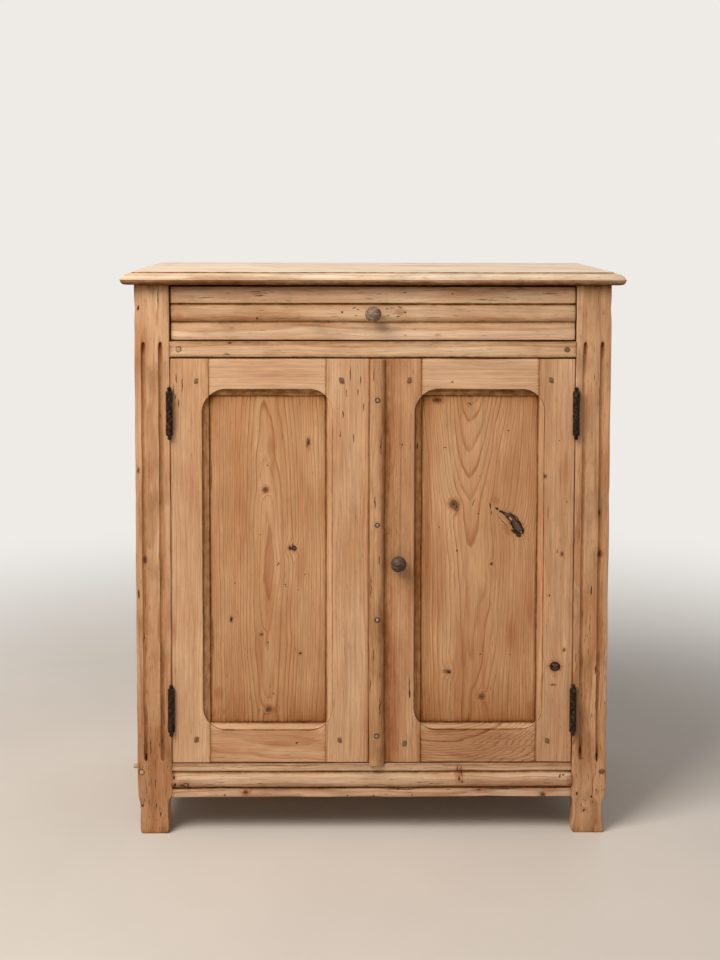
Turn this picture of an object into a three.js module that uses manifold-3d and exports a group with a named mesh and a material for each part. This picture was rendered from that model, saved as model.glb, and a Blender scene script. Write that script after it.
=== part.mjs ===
// Jelly cupboard in stripped pine: a moulded top over one drawer and a pair of framed doors,
// hung on barrel hinges between four corner posts that run down into the feet.
// Millimetres, +Z up, front towards -Y. The model is drawn with its front faces in the plane
// y = 0 and its middle at x = 0, and is then moved so that its box is centred over the origin.
import * as THREE from 'three';
import { mergeVertices } from 'three/addons/utils/BufferGeometryUtils.js';
import Module from 'manifold-3d';

// Overall case
const BODY_WIDTH = 890;
const BODY_DEPTH = 425;
const FIT = 0.3; // air between two pieces that touch
const OVERRUN = 2; // how far a cut runs past the face it opens on

// Heights, stacked from the floor up
const FOOT_HEIGHT = 72;
const BASE_RAIL_HEIGHT = 64.5;
const DOOR_CLEARANCE = 3;
const DOOR_HEIGHT = 770;
const DRAWER_RAIL_HEIGHT = 29;
const DRAWER_CLEARANCE = 3;
const DRAWER_FRONT_HEIGHT = 99.5;
const DRAWER_HEADROOM = 4;
const TOP_THICKNESS = 24;

// Top board and its moulded edge
const TOP_OVERHANG = 23;
const TOP_BACK_OVERHANG = 3;
const MOULD_WIDTH = 21;
const MOULD_STEP = 2;
const MOULD_NOSE_DROP = 12.5;
const MOULD_NOSE_FLAT = 2;
const MOULD_UNDERCUT = 9;
const OVOLO_STEPS = 6;

// Corner posts
const POST_WIDTH = 65;
const POST_DEPTH = 45;
const FLUTE_WIDTH = 8;
const FLUTE_DEPTH = 3.5;
const FLUTE_INSET = 16.5;
const FLUTE_TIP = 14;
const FLUTE_LOW_MARGIN = 6;
const FLUTE_SIDES = 8;
const FOOT_INNER_CUT = 6;
const FOOT_OUTER_CUT = 4;
const FOOT_FLARE_HEIGHT = 16;
const FOOT_SHOULDER = 6;
const FOOT_CHAMFER = 3;

// Case joinery
const CASE_RAIL_THICKNESS = 22;
const CASE_FACE_SET = 2;
const CASE_PANEL_THICKNESS = 10;
const CASE_PANEL_SET = 5;
const CASE_PANEL_GROOVE = 8;
const CASE_TOP_RAIL_HEIGHT = 68;
const TENON_THICKNESS = 8;
const TENON_SHOULDER = 5;
const CASE_TENON_LENGTH = 22; // into the back posts; the front ones stop short of the foot pegs
const BASE_TENON_LENGTH = 61;
const DRAWER_RAIL_TENON_LENGTH = 30;
const BACK_BOARD_COUNT = 3;
const BACK_BOARD_GAP = 1;

// Moulded base rail
const BASE_BAND_HEIGHT = 14.2;
const BASE_LOW_BAND_HEIGHT = 15.9;
const BASE_GROOVE_HEIGHT = 3.6;
const BASE_GROOVE_DEPTH = 4;
const TORUS_PROUD = 4;
const TORUS_STEPS = 8;

// Shelf, bottom board and the stop that the doors close on
const BOARD_THICKNESS = 18;
const SHELF_LEVEL = 392; // from the top of the bottom board to the top of the shelf
const CLEAT_HEIGHT = 22;
const CLEAT_THICKNESS = 22;
const STOP_WIDTH = 70;
const STOP_HEIGHT = 20;
const STOP_DEPTH = 18;
const STOP_CLEARANCE = 0.6; // between the shut doors and what they close against

// Doors
const DOOR_THICKNESS = 22;
const DOOR_SIDE_GAP = 1.5;
const MEETING_GAP = 2;
const MEETING_SHIFT = 6.5; // the right door's meeting edge lies this far left of the middle
const LEFT_OUTER_STILE = 71.5;
const LEFT_INNER_STILE = 79.5;
const RIGHT_OUTER_STILE = 68.5;
const RIGHT_INNER_STILE = 97.5;
const DOOR_TOP_RAIL = 69.5;
const DOOR_BOTTOM_RAIL = 74.5;
const DOOR_TENON_LENGTH = 48;
const DOOR_TENON_SHOULDER = 10;
const DOOR_TENON_RISE = 1.2; // from the panel's groove to the tenon
const COVE_WIDTH = 14;
const COVE_DEPTH = 7;
const COVE_FILLET = 1.6;
const COVE_CORNER_STEPS = 6;
const PANEL_SET = 10;
const PANEL_THICKNESS = 8;
const PANEL_GROOVE = 8;
const PANEL_MARGIN = 1;

// Pegs through the joints
const PEG_WIDTH = 9;
const PEG_HEIGHT = 12;
const PEG_PROUD = 0.6;
const PEG_LENGTH = 19;
const PEG_INSET = 24;
const PEG_WALL = 4.6; // wood between the end of a foot peg and the tenon behind it
const PEG_SIDES = 8;
const TOP_PEG_SHARE = 0.41;
const BOTTOM_PEG_SHARE = 0.55;
const SMALL_PEG_SIZE = 8;
const POST_PEG_INSET = 7.5;
const POST_PEG_SHARE = 0.75;
const RAIL_PEG_INSET = 17.5;
const RAIL_PEG_SHARE = 0.5;
const RAIL_PEG_BITE = 14;
const SIDE_PEG_PROUD = 12;
const SIDE_PEG_LENGTH = 34;
const SIDE_PEG_INSET = 6.7; // from the end of the tenon that it holds
const SIDE_PEG_SHARE = 0.77;

// Strip that covers the meeting line
const STRIP_WIDTH = 29;
const STRIP_PROUD = 9;
const STRIP_ROUND = 8;
const STRIP_LEFT_CHAMFER = 2;
const STRIP_TAIL = 5;
const NAIL_HEAD_RADIUS = 3;
const NAIL_HEAD_PROUD = 0.5;
const NAIL_SHANK_RADIUS = 1.3;
const NAIL_LENGTH = 22;
const NAIL_SIDES = 8;
const NAIL_PLACE_SHARE = 0.52;
const NAIL_HEIGHT_SHARES = [0.07, 0.36, 0.594, 0.9];

// Barrel hinges
const HINGE_LENGTH = 100;
const HINGE_RADIUS = 6.5;
const HINGE_FORWARD = 5;
const HINGE_INSET = 102; // from the end of the door to the middle of the hinge
const HINGE_POCKET = 0.6;
const HINGE_SIDES = 14;
const KNUCKLE_GAP = 0.6;
const FINIAL_LENGTH = 8;
const FINIAL_RADIUS = 4;
const FINIAL_NECK = 3;
const HINGE_CHAMFER = 1.5;
const LEAF_THICKNESS = 2.3;
const LEAF_LENGTH = 37;
const LEAF_DEPTH = 20;
const LEAF_SETBACK = 2.4; // from the middle of the hinge to the near end of a leaf
const PIN_RADIUS = 3;
const PIN_CLEARANCE = 0.45;
const PIN_LENGTH = 34;

// Turned knobs
const KNOB_RADIUS = 15;
const KNOB_PROUD = 29;
const KNOB_NECK_RADIUS = 8;
const KNOB_NECK_LENGTH = 9;
const KNOB_SIDES = 16;
const KNOB_STEPS = 7;
const KNOB_FULLNESS_SHARE = 2 / 3; // 1 is a plain ball, less is squarer
const SPINDLE_RADIUS = 5.5;
const SPINDLE_CLEARANCE = 0.5;
const SPINDLE_TAIL = 3;
const DOOR_KNOB_SHARE = 0.56;
const DOOR_KNOB_HEIGHT_SHARE = 0.5;

// Wooden turn button behind the right door
const LATCH_WIDTH = 22;
const LATCH_THICKNESS = 11;
const LATCH_CATCH = 18;
const LATCH_CLEARANCE = 0.6;

// Iron slide bolt inside the left door
const BOLT_RADIUS = 3.5;
const BOLT_CLEARANCE = 0.5;
const BOLT_TRAVEL = 14;
const BOLT_RETRACT = 3; // the rod's tip lies this far below the top of the door at rest
const BOLT_LENGTH = 130;
const BOLT_SIDES = 12;
const BOLT_GRIP_RADIUS = 3;
const BOLT_GRIP_LENGTH = 14;
const BOLT_PLATE_WIDTH = 24;
const BOLT_PLATE_LENGTH = 100;
const BOLT_PLATE_DROP = 12; // from the top of the door
const BOLT_PLATE_THICKNESS = 2.5;
const STAPLE_WIDTH = 15;
const STAPLE_HEIGHT = 10;
const STAPLE_DEPTH = 10;
const STAPLE_SPAN = 70; // from the middle of one staple to the middle of the other
const BOLT_HOLE_MARGIN = 4; // left above the rod's tip when the bolt is shot

// Drawer
const DRAWER_SIDE_GAP = 2.6;
const DRAWER_FRONT_THICKNESS = 22;
const DRAWER_SIDE_THICKNESS = 12;
const DRAWER_SIDE_DROP = 10;
const DRAWER_BACK_ROOM = 11;
const DRAWER_BOTTOM_THICKNESS = 8;
const DRAWER_BOTTOM_LIFT = 10;
const DRAWER_GROOVE = 6;
const DRAWER_LAP = 8;
const TAIL_COUNT = 3;
const TAIL_HALF_WIDTH = 9;
const TAIL_SPLAY = 3;
const BAND_GROOVE = 3.7;
const BAND_GROOVE_DEPTH = 4;
const TOP_BAND_HEIGHT = 30.5;
const LOW_BAND_HEIGHT = 34;
const LOW_BAND_STEP = 5;
const BAND_ROUND = 9;
const ROUND_STEPS = 4;

// Drawer runners
const RUNNER_REACH = 30;
const RUNNER_HEIGHT = 26;
const GUIDE_HEIGHT = 24;

// Places worked out from the sizes above
const bodyHalf = BODY_WIDTH / 2;
const openHalf = bodyHalf - POST_WIDTH;
const railTop = FOOT_HEIGHT + BASE_RAIL_HEIGHT;
const doorBottom = railTop + DOOR_CLEARANCE;
const doorTop = doorBottom + DOOR_HEIGHT;
const drawerRailBottom = doorTop + DOOR_CLEARANCE;
const drawerRailTop = drawerRailBottom + DRAWER_RAIL_HEIGHT;
const drawerBottom = drawerRailTop + DRAWER_CLEARANCE;
const drawerTop = drawerBottom + DRAWER_FRONT_HEIGHT;
const caseTop = drawerTop + DRAWER_HEADROOM;
const topSurface = caseTop + TOP_THICKNESS;
const backPostFront = BODY_DEPTH - POST_DEPTH;
const frontTenonEnd = PEG_LENGTH - PEG_PROUD + PEG_WALL;
const sideRailOut = bodyHalf - CASE_FACE_SET;
const sideRailIn = sideRailOut - CASE_RAIL_THICKNESS;
const sidePanelOut = sideRailOut - CASE_PANEL_SET;
const sidePanelIn = sidePanelOut - CASE_PANEL_THICKNESS;
const backRailOut = BODY_DEPTH - CASE_FACE_SET;
const backRailIn = backRailOut - CASE_RAIL_THICKNESS;
const backPanelOut = backRailOut - CASE_PANEL_SET;
const backPanelIn = backPanelOut - CASE_PANEL_THICKNESS;
const caseTopRailBottom = caseTop - CASE_TOP_RAIL_HEIGHT;
const boardBottom = railTop + FIT;
const boardTop = boardBottom + BOARD_THICKNESS;
const shelfTop = boardTop + SHELF_LEVEL;
const shelfBottom = shelfTop - BOARD_THICKNESS;
const doorEdge = openHalf - DOOR_SIDE_GAP;
const rightMeeting = -MEETING_SHIFT;
const leftMeeting = rightMeeting - MEETING_GAP;
const sightBottom = doorBottom + DOOR_BOTTOM_RAIL;
const sightTop = doorTop - DOOR_TOP_RAIL;
const drawerHalf = openHalf - DRAWER_SIDE_GAP;
const drawerSideIn = drawerHalf - DRAWER_SIDE_THICKNESS;
const drawerSideTop = drawerTop - DRAWER_SIDE_DROP;
const drawerEnd = backRailIn - DRAWER_BACK_ROOM;
const runnerTop = drawerBottom - FIT;
const runnerBottom = runnerTop - RUNNER_HEIGHT;
const hingeLevels = [doorBottom + HINGE_INSET, doorTop - HINGE_INSET];
const knobX = rightMeeting + RIGHT_INNER_STILE * DOOR_KNOB_SHARE;
const knobZ = doorBottom + DOOR_HEIGHT * DOOR_KNOB_HEIGHT_SHARE;
const boltX = leftMeeting - LEFT_INNER_STILE / 2;
const plateBack = DOOR_THICKNESS + FIT + BOLT_PLATE_THICKNESS;
const boltY = plateBack + STAPLE_DEPTH / 2;
const boltTip = doorTop - BOLT_RETRACT;
const boltPlateTop = doorTop - BOLT_PLATE_DROP;
const boltHoleDepth = BOLT_TRAVEL - BOLT_RETRACT - DOOR_CLEARANCE + BOLT_HOLE_MARGIN;

const wasm = await Module();
wasm.setup();

// Solids and cuts

// A closed three.js geometry as a solid, with its faces turned outwards.
function solid(geometry) {
  const plain = geometry.clone();
  plain.deleteAttribute('normal');
  plain.deleteAttribute('uv');
  const merged = mergeVertices(plain);
  const points = merged.attributes.position.array;
  const index = merged.index.array;
  const faces = [];
  const [a, b, c] = [new THREE.Vector3(), new THREE.Vector3(), new THREE.Vector3()];
  let volume = 0;
  for (let i = 0; i < index.length; i += 3) {
    const [i0, i1, i2] = index.slice(i, i + 3);
    if (i0 === i1 || i1 === i2 || i0 === i2) continue;
    faces.push(i0, i1, i2);
    a.fromArray(points, i0 * 3);
    b.fromArray(points, i1 * 3);
    c.fromArray(points, i2 * 3);
    volume += a.dot(b.cross(c));
  }
  if (volume < 0) faces.reverse();
  return new wasm.Manifold(new wasm.Mesh({
    numProp: 3,
    vertProperties: new Float32Array(points),
    triVerts: new Uint32Array(faces),
  }));
}

// A box given by its ends along X, Y and Z.
function block(x, y, z) {
  const [sx, sy, sz] = [x, y, z].map(([from, to]) => Math.abs(to - from));
  const geometry = new THREE.BoxGeometry(sx, sy, sz);
  geometry.translate((x[0] + x[1]) / 2, (y[0] + y[1]) / 2, (z[0] + z[1]) / 2);
  return solid(geometry);
}

// An outline carried along X (points are [y, z]) or along Y (points are [x, z]).
function prism(points, axis, from, to) {
  const flat = points.map(([u, v]) => (axis === 'x' ? [u, v] : [v, u]));
  const shape = new THREE.Shape(flat.map(([u, v]) => new THREE.Vector2(u, v)));
  const geometry = new THREE.ExtrudeGeometry(shape, { depth: to - from, bevelEnabled: false });
  const turn = new THREE.Matrix4();
  if (axis === 'x') {
    turn.set(0, 0, 1, from, 1, 0, 0, 0, 0, 1, 0, 0, 0, 0, 0, 1);
  } else {
    turn.set(0, 1, 0, 0, 0, 0, 1, from, 1, 0, 0, 0, 0, 0, 0, 1);
  }
  geometry.applyMatrix4(turn);
  return solid(geometry);
}

// A turned form whose profile is [radius, height]; place moves or turns it.
function turned(profile, sides, place) {
  const points = profile.map(([r, h]) => new THREE.Vector2(r, h));
  const geometry = new THREE.LatheGeometry(points, sides);
  place(geometry);
  return solid(geometry);
}

// A round bar between two heights along its axis.
function bar(radius, from, to, sides, place) {
  return turned([[0, from], [radius, from], [radius, to], [0, to]], sides, place);
}

const alongZ = (x, y) => (g) => g.rotateX(Math.PI / 2).translate(x, y, 0);
const alongY = (x, z) => (g) => g.translate(x, 0, z);
const alongX = (y, z) => (g) => g.rotateZ(-Math.PI / 2).translate(0, y, z);

const join = (parts) => parts.reduce((sum, part) => sum.add(part));
const cut = (body, tools) => tools.reduce((rest, tool) => rest.subtract(tool), body);
const both = (side, a, b) => [side * a, side * b].sort((p, q) => p - q);
const grow = ([from, to], by) => [from - by, to + by];

// Materials: each piece has its own, made from one of these finishes
const FINISH = {
  honeyPine: { color: 0xd2a67c, roughness: 0.62, metalness: 0 },
  panelPine: { color: 0xc79366, roughness: 0.6, metalness: 0 },
  topPine: { color: 0xe2bd93, roughness: 0.6, metalness: 0 },
  insidePine: { color: 0xc9a072, roughness: 0.75, metalness: 0 },
  endGrain: { color: 0x7a6555, roughness: 0.8, metalness: 0 },
  wornKnob: { color: 0x7d6a60, roughness: 0.7, metalness: 0 },
  darkIron: { color: 0x2e2620, roughness: 0.6, metalness: 0.85 },
};

const cupboard = new THREE.Group();
const drawn = new THREE.Group();
cupboard.add(drawn);

function piece(name, body, finish) {
  const { vertProperties, triVerts, numProp } = body.getMesh();
  const geometry = new THREE.BufferGeometry();
  const points = new THREE.InterleavedBuffer(vertProperties, numProp);
  geometry.setAttribute('position', new THREE.InterleavedBufferAttribute(points, 3, 0));
  geometry.setIndex(new THREE.BufferAttribute(triVerts, 1));
  const flat = geometry.toNonIndexed();
  flat.computeVertexNormals();
  const mesh = new THREE.Mesh(flat, new THREE.MeshStandardMaterial(FINISH[finish]));
  mesh.name = name;
  drawn.add(mesh);
}

// Tenons are boxes {x, y, z}; their mortises are the same boxes with a little air round them
const tenonBlock = (t) => block(t.x, t.y, t.z);
const mortise = (t) => block(grow(t.x, FIT), grow(t.y, FIT), grow(t.z, FIT));

const baseTenon = (side) => ({
  x: both(side, openHalf - OVERRUN, openHalf + BASE_TENON_LENGTH),
  y: [TENON_SHOULDER, TENON_SHOULDER + TENON_THICKNESS],
  z: [FOOT_HEIGHT + TENON_SHOULDER, railTop - TENON_SHOULDER],
});
const drawerRailTenon = (side) => ({
  x: both(side, openHalf - OVERRUN, openHalf + DRAWER_RAIL_TENON_LENGTH),
  y: [TENON_SHOULDER, TENON_SHOULDER + TENON_THICKNESS],
  z: [drawerRailBottom + TENON_SHOULDER, drawerRailTop - TENON_SHOULDER],
});
// The tenons of the side and back rails stand clear of the panels' grooves.
const caseSpans = {
  top: [caseTopRailBottom, caseTop - FIT],
  bottom: [FOOT_HEIGHT, railTop],
};
const caseTenonSpans = {
  top: [caseTopRailBottom + CASE_PANEL_GROOVE + TENON_SHOULDER, caseTop - TENON_SHOULDER],
  bottom: [FOOT_HEIGHT + TENON_SHOULDER, railTop - CASE_PANEL_GROOVE - TENON_SHOULDER],
};
const sideTenon = (side, isBack, place) => ({
  x: both(side, sidePanelIn, sidePanelIn + TENON_THICKNESS),
  y: isBack
    ? [backPostFront - OVERRUN, backPostFront + CASE_TENON_LENGTH]
    : [frontTenonEnd, POST_DEPTH + OVERRUN],
  z: caseTenonSpans[place],
});
const backTenon = (side, place) => ({
  x: both(side, openHalf - OVERRUN, openHalf + CASE_TENON_LENGTH),
  y: [backPanelIn, backPanelIn + TENON_THICKNESS],
  z: caseTenonSpans[place],
});
const panelEdges = {
  top: [caseTopRailBottom - OVERRUN, caseTopRailBottom + CASE_PANEL_GROOVE],
  bottom: [railTop - CASE_PANEL_GROOVE, railTop + OVERRUN],
};

// Pegs
// A peg that lies along Y, with its face at front and its far end length behind it.
function pegBody(x, z, front, length, width, height, grown) {
  return bar(width / 2 + grown, front - grown, front + length + grown, PEG_SIDES, (g) => {
    g.scale(1, 1, height / width);
    g.rotateY(Math.PI / PEG_SIDES);
    g.translate(x, 0, z);
  });
}
const postPeg = (side, grown) => pegBody(
  side * (bodyHalf - POST_PEG_INSET), FOOT_HEIGHT + BASE_RAIL_HEIGHT * POST_PEG_SHARE,
  -PEG_PROUD, PEG_LENGTH, SMALL_PEG_SIZE, SMALL_PEG_SIZE, grown,
);
const railPeg = (side, grown) => pegBody(
  side * (openHalf - RAIL_PEG_INSET), drawerRailBottom + DRAWER_RAIL_HEIGHT * RAIL_PEG_SHARE,
  -PEG_PROUD, PEG_PROUD + POST_DEPTH + RAIL_PEG_BITE, SMALL_PEG_SIZE, SMALL_PEG_SIZE, grown,
);
const sidePegZ = FOOT_HEIGHT + BASE_RAIL_HEIGHT * SIDE_PEG_SHARE;
const sidePeg = (grown) => bar(
  SMALL_PEG_SIZE / 2 + grown,
  -bodyHalf - SIDE_PEG_PROUD - grown,
  -bodyHalf - SIDE_PEG_PROUD + SIDE_PEG_LENGTH + grown,
  PEG_SIDES, alongX(frontTenonEnd + SIDE_PEG_INSET, sidePegZ),
);

// Hinges
const hingeAxis = (side) => [side * openHalf, -HINGE_FORWARD];
const barrelHalf = HINGE_LENGTH / 2 - FINIAL_LENGTH;

// The room that a hinge's barrel needs in the wood on both sides of it.
function hingePocket(side, level) {
  const [x, y] = hingeAxis(side);
  const reach = barrelHalf + OVERRUN;
  return bar(HINGE_RADIUS + HINGE_POCKET, level - reach, level + reach, HINGE_SIDES, alongZ(x, y));
}

// up is 1 for the upper half, which is let into the door, and -1 for the lower one, in the post.
function leafBlock(side, up, level, grown) {
  const nearX = up > 0 ? doorEdge - LEAF_THICKNESS : openHalf + FIT;
  const x = grow(both(side, nearX, nearX + LEAF_THICKNESS), grown);
  const inner = level + up * LEAF_SETBACK;
  const z = grow(both(1, inner, inner + up * LEAF_LENGTH), grown);
  return block(x, [-HINGE_FORWARD, LEAF_DEPTH + grown], z);
}

// The lower half carries the fixed pin, which the upper half is dropped over.
function hingeHalf(side, up, level) {
  const [x, y] = hingeAxis(side);
  const start = up * KNUCKLE_GAP / 2;
  const profile = [
    [0, start],
    [HINGE_RADIUS, start],
    [HINGE_RADIUS, up * (barrelHalf - HINGE_CHAMFER)],
    [HINGE_RADIUS - HINGE_CHAMFER, up * barrelHalf],
    [FINIAL_NECK, up * barrelHalf],
    [FINIAL_RADIUS, up * (barrelHalf + FINIAL_LENGTH / 3)],
    [FINIAL_RADIUS, up * (barrelHalf + FINIAL_LENGTH / 2)],
    [0, up * (barrelHalf + FINIAL_LENGTH)],
  ];
  const place = (g) => g.rotateX(Math.PI / 2).translate(x, y, level);
  const half = turned(profile, HINGE_SIDES, place).add(leafBlock(side, up, level, 0));
  if (up < 0) return half.add(bar(PIN_RADIUS, start, PIN_LENGTH, HINGE_SIDES, place));
  const bore = PIN_LENGTH + PIN_CLEARANCE;
  return half.subtract(bar(PIN_RADIUS + PIN_CLEARANCE, -bore, bore, HINGE_SIDES, place));
}

// Posts
function flute(x) {
  const [low, high] = [railTop + FLUTE_LOW_MARGIN, drawerRailTop];
  const radius = FLUTE_WIDTH / 2;
  const profile = [[0, low], [radius, low + FLUTE_TIP], [radius, high - FLUTE_TIP], [0, high]];
  return turned(profile, FLUTE_SIDES, (g) => {
    g.rotateX(Math.PI / 2).scale(1, FLUTE_DEPTH / radius, 1).translate(x, 0, 0);
  });
}

// The post seen from the front: straight to the rail, then stepped in, with a worn flare at the foot.
function postOutline(side) {
  const x = (fromInner) => side * (openHalf + fromInner);
  const shoulder = FOOT_HEIGHT - FOOT_SHOULDER;
  return [
    [x(0), caseTop - FIT],
    [x(0), FOOT_HEIGHT],
    [x(FOOT_INNER_CUT), shoulder],
    [x(FOOT_INNER_CUT), FOOT_FLARE_HEIGHT * 2],
    [x(0), FOOT_FLARE_HEIGHT],
    [x(0), FOOT_CHAMFER * 2],
    [x(FOOT_CHAMFER), 0],
    [x(POST_WIDTH - FOOT_OUTER_CUT - FOOT_CHAMFER), 0],
    [x(POST_WIDTH - FOOT_OUTER_CUT), FOOT_CHAMFER],
    [x(POST_WIDTH - FOOT_OUTER_CUT), shoulder - FOOT_SHOULDER],
    [x(POST_WIDTH), shoulder],
    [x(POST_WIDTH), caseTop - FIT],
  ];
}

function postCuts(side, isBack) {
  const panelX = grow(both(side, sidePanelIn, sidePanelOut), FIT);
  const panelY = isBack
    ? [backPostFront - OVERRUN, backPostFront + CASE_PANEL_GROOVE]
    : [POST_DEPTH - CASE_PANEL_GROOVE, POST_DEPTH + OVERRUN];
  const panelZ = [railTop - CASE_PANEL_GROOVE, caseTopRailBottom + CASE_PANEL_GROOVE];
  const cuts = [
    block(panelX, panelY, panelZ),
    mortise(sideTenon(side, isBack, 'top')),
    mortise(sideTenon(side, isBack, 'bottom')),
  ];
  if (isBack) {
    const backX = both(side, openHalf - OVERRUN, openHalf + CASE_PANEL_GROOVE);
    cuts.push(block(backX, grow([backPanelIn, backPanelOut], FIT), panelZ));
    cuts.push(mortise(backTenon(side, 'top')));
    cuts.push(mortise(backTenon(side, 'bottom')));
    return cuts;
  }
  cuts.push(mortise(baseTenon(side)));
  cuts.push(mortise(drawerRailTenon(side)));
  cuts.push(postPeg(side, FIT));
  cuts.push(flute(side * (openHalf + FLUTE_INSET)));
  cuts.push(flute(side * (bodyHalf - FLUTE_INSET)));
  for (const level of hingeLevels) {
    cuts.push(hingePocket(side, level));
    cuts.push(leafBlock(side, -1, level, FIT));
  }
  if (side < 0) cuts.push(sidePeg(FIT));
  return cuts;
}

for (const [word, side] of [['left', -1], ['right', 1]]) {
  const front = prism(postOutline(side), 'y', 0, POST_DEPTH);
  piece(`post_front_${word}`, cut(front, postCuts(side, false)), 'honeyPine');
  const back = prism(postOutline(side), 'y', backPostFront, BODY_DEPTH);
  piece(`post_back_${word}`, cut(back, postCuts(side, true)), 'honeyPine');
}

// Top board: the moulded edge runs round the front and both ends and is mitred at the corners
function mouldPoints(edge, out) {
  const points = [[edge, topSurface], [edge, topSurface - MOULD_STEP]];
  const rise = MOULD_NOSE_DROP - MOULD_STEP;
  for (let i = 0; i <= OVOLO_STEPS; i += 1) {
    const turn = (Math.PI / 2) * (i / OVOLO_STEPS);
    points.push([
      edge + out * (MOULD_STEP + (MOULD_WIDTH - MOULD_STEP) * Math.sin(turn)),
      topSurface - MOULD_STEP - rise * (1 - Math.cos(turn)),
    ]);
  }
  points.push([edge + out * MOULD_WIDTH, topSurface - MOULD_NOSE_DROP - MOULD_NOSE_FLAT]);
  points.push([edge + out * (MOULD_WIDTH - MOULD_UNDERCUT), caseTop]);
  return points;
}

const topHalf = bodyHalf + TOP_OVERHANG;
const topBack = BODY_DEPTH + TOP_BACK_OVERHANG;
const frontFlat = MOULD_WIDTH - TOP_OVERHANG;
const alongFront = prism(
  [...mouldPoints(frontFlat, -1), [topBack, caseTop], [topBack, topSurface]],
  'x', -topHalf, topHalf,
);
const alongSides = prism(
  [...mouldPoints(topHalf - MOULD_WIDTH, 1), ...mouldPoints(MOULD_WIDTH - topHalf, -1).reverse()],
  'y', -TOP_OVERHANG - OVERRUN, topBack + OVERRUN,
);
piece('top_board', alongFront.intersect(alongSides), 'topPine');

// Front rails
function torusPoints(bottom, top) {
  const points = [];
  const middle = (bottom + top) / 2;
  const half = (top - bottom) / 2;
  for (let i = 0; i <= TORUS_STEPS; i += 1) {
    const turn = Math.PI * (i / TORUS_STEPS - 1 / 2);
    const proud = (BASE_GROOVE_DEPTH + TORUS_PROUD) * Math.cos(turn);
    points.push([BASE_GROOVE_DEPTH - proud, middle + half * Math.sin(turn)]);
  }
  return points;
}

const lowBandTop = FOOT_HEIGHT + BASE_LOW_BAND_HEIGHT;
const highBandBottom = railTop - BASE_BAND_HEIGHT;
const baseRail = prism([
  [CASE_RAIL_THICKNESS, FOOT_HEIGHT],
  [0, FOOT_HEIGHT],
  [0, lowBandTop],
  [BASE_GROOVE_DEPTH, lowBandTop],
  ...torusPoints(lowBandTop + BASE_GROOVE_HEIGHT, highBandBottom - BASE_GROOVE_HEIGHT),
  [BASE_GROOVE_DEPTH, highBandBottom],
  [0, highBandBottom],
  [0, railTop],
  [CASE_RAIL_THICKNESS, railTop],
], 'x', FIT - openHalf, openHalf - FIT);
const baseTenons = [tenonBlock(baseTenon(-1)), tenonBlock(baseTenon(1))];
const basePegs = [postPeg(-1, FIT), postPeg(1, FIT)];
piece('bottom_rail', cut(join([baseRail, ...baseTenons]), basePegs), 'honeyPine');

const drawerRailBody = block(
  both(1, FIT - openHalf, openHalf - FIT), [0, POST_DEPTH], [drawerRailBottom, drawerRailTop],
);
const boltHole = bar(
  BOLT_RADIUS + BOLT_CLEARANCE,
  drawerRailBottom - OVERRUN, drawerRailBottom + boltHoleDepth,
  BOLT_SIDES, (g) => g.rotateX(Math.PI / 2).translate(boltX, boltY, 0),
);
const drawerRailTenons = [tenonBlock(drawerRailTenon(-1)), tenonBlock(drawerRailTenon(1))];
const railPegs = [railPeg(-1, FIT), railPeg(1, FIT)];
piece(
  'drawer_rail',
  cut(join([drawerRailBody, ...drawerRailTenons]), [boltHole, ...railPegs]),
  'honeyPine',
);

// Side frames: two rails and a panel between the posts on each side
for (const [word, side] of [['left', -1], ['right', 1]]) {
  const railX = both(side, sideRailIn, sideRailOut);
  const railY = [POST_DEPTH + FIT, backPostFront - FIT];
  const grooveX = grow(both(side, sidePanelIn, sidePanelOut), FIT);
  const groove = (z) => block(grooveX, grow(railY, OVERRUN), z);
  for (const place of ['top', 'bottom']) {
    const body = join([
      block(railX, railY, caseSpans[place]),
      tenonBlock(sideTenon(side, false, place)),
      tenonBlock(sideTenon(side, true, place)),
    ]);
    const tools = [groove(panelEdges[place])];
    if (side < 0) tools.push(sidePeg(FIT));
    piece(`side_rail_${place}_${word}`, cut(body, tools), 'honeyPine');
  }
  const reach = CASE_PANEL_GROOVE - PANEL_MARGIN;
  const panelY = [POST_DEPTH - reach, backPostFront + reach];
  const panelZ = [railTop - reach, caseTopRailBottom + reach];
  const panelX = both(side, sidePanelIn, sidePanelOut);
  piece(`side_panel_${word}`, block(panelX, panelY, panelZ), 'panelPine');
}

// Back frame: two rails and upright boards in their grooves
const backGrooveX = grow([-openHalf, openHalf], OVERRUN);
const backGrooveY = grow([backPanelIn, backPanelOut], FIT);
for (const place of ['top', 'bottom']) {
  const body = join([
    block([FIT - openHalf, openHalf - FIT], [backRailIn, backRailOut], caseSpans[place]),
    tenonBlock(backTenon(-1, place)),
    tenonBlock(backTenon(1, place)),
  ]);
  const groove = block(backGrooveX, backGrooveY, panelEdges[place]);
  piece(`back_rail_${place}`, body.subtract(groove), 'honeyPine');
}
const backReach = CASE_PANEL_GROOVE - PANEL_MARGIN;
const backWidth = 2 * (openHalf + backReach);
const backPitch = (backWidth + BACK_BOARD_GAP) / BACK_BOARD_COUNT;
for (let i = 0; i < BACK_BOARD_COUNT; i += 1) {
  const left = -backWidth / 2 + i * backPitch;
  piece(`back_board_${i + 1}`, block(
    [left, left + backPitch - BACK_BOARD_GAP],
    [backPanelIn, backPanelOut],
    [railTop - backReach, caseTopRailBottom + backReach],
  ), 'insidePine');
}

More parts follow.
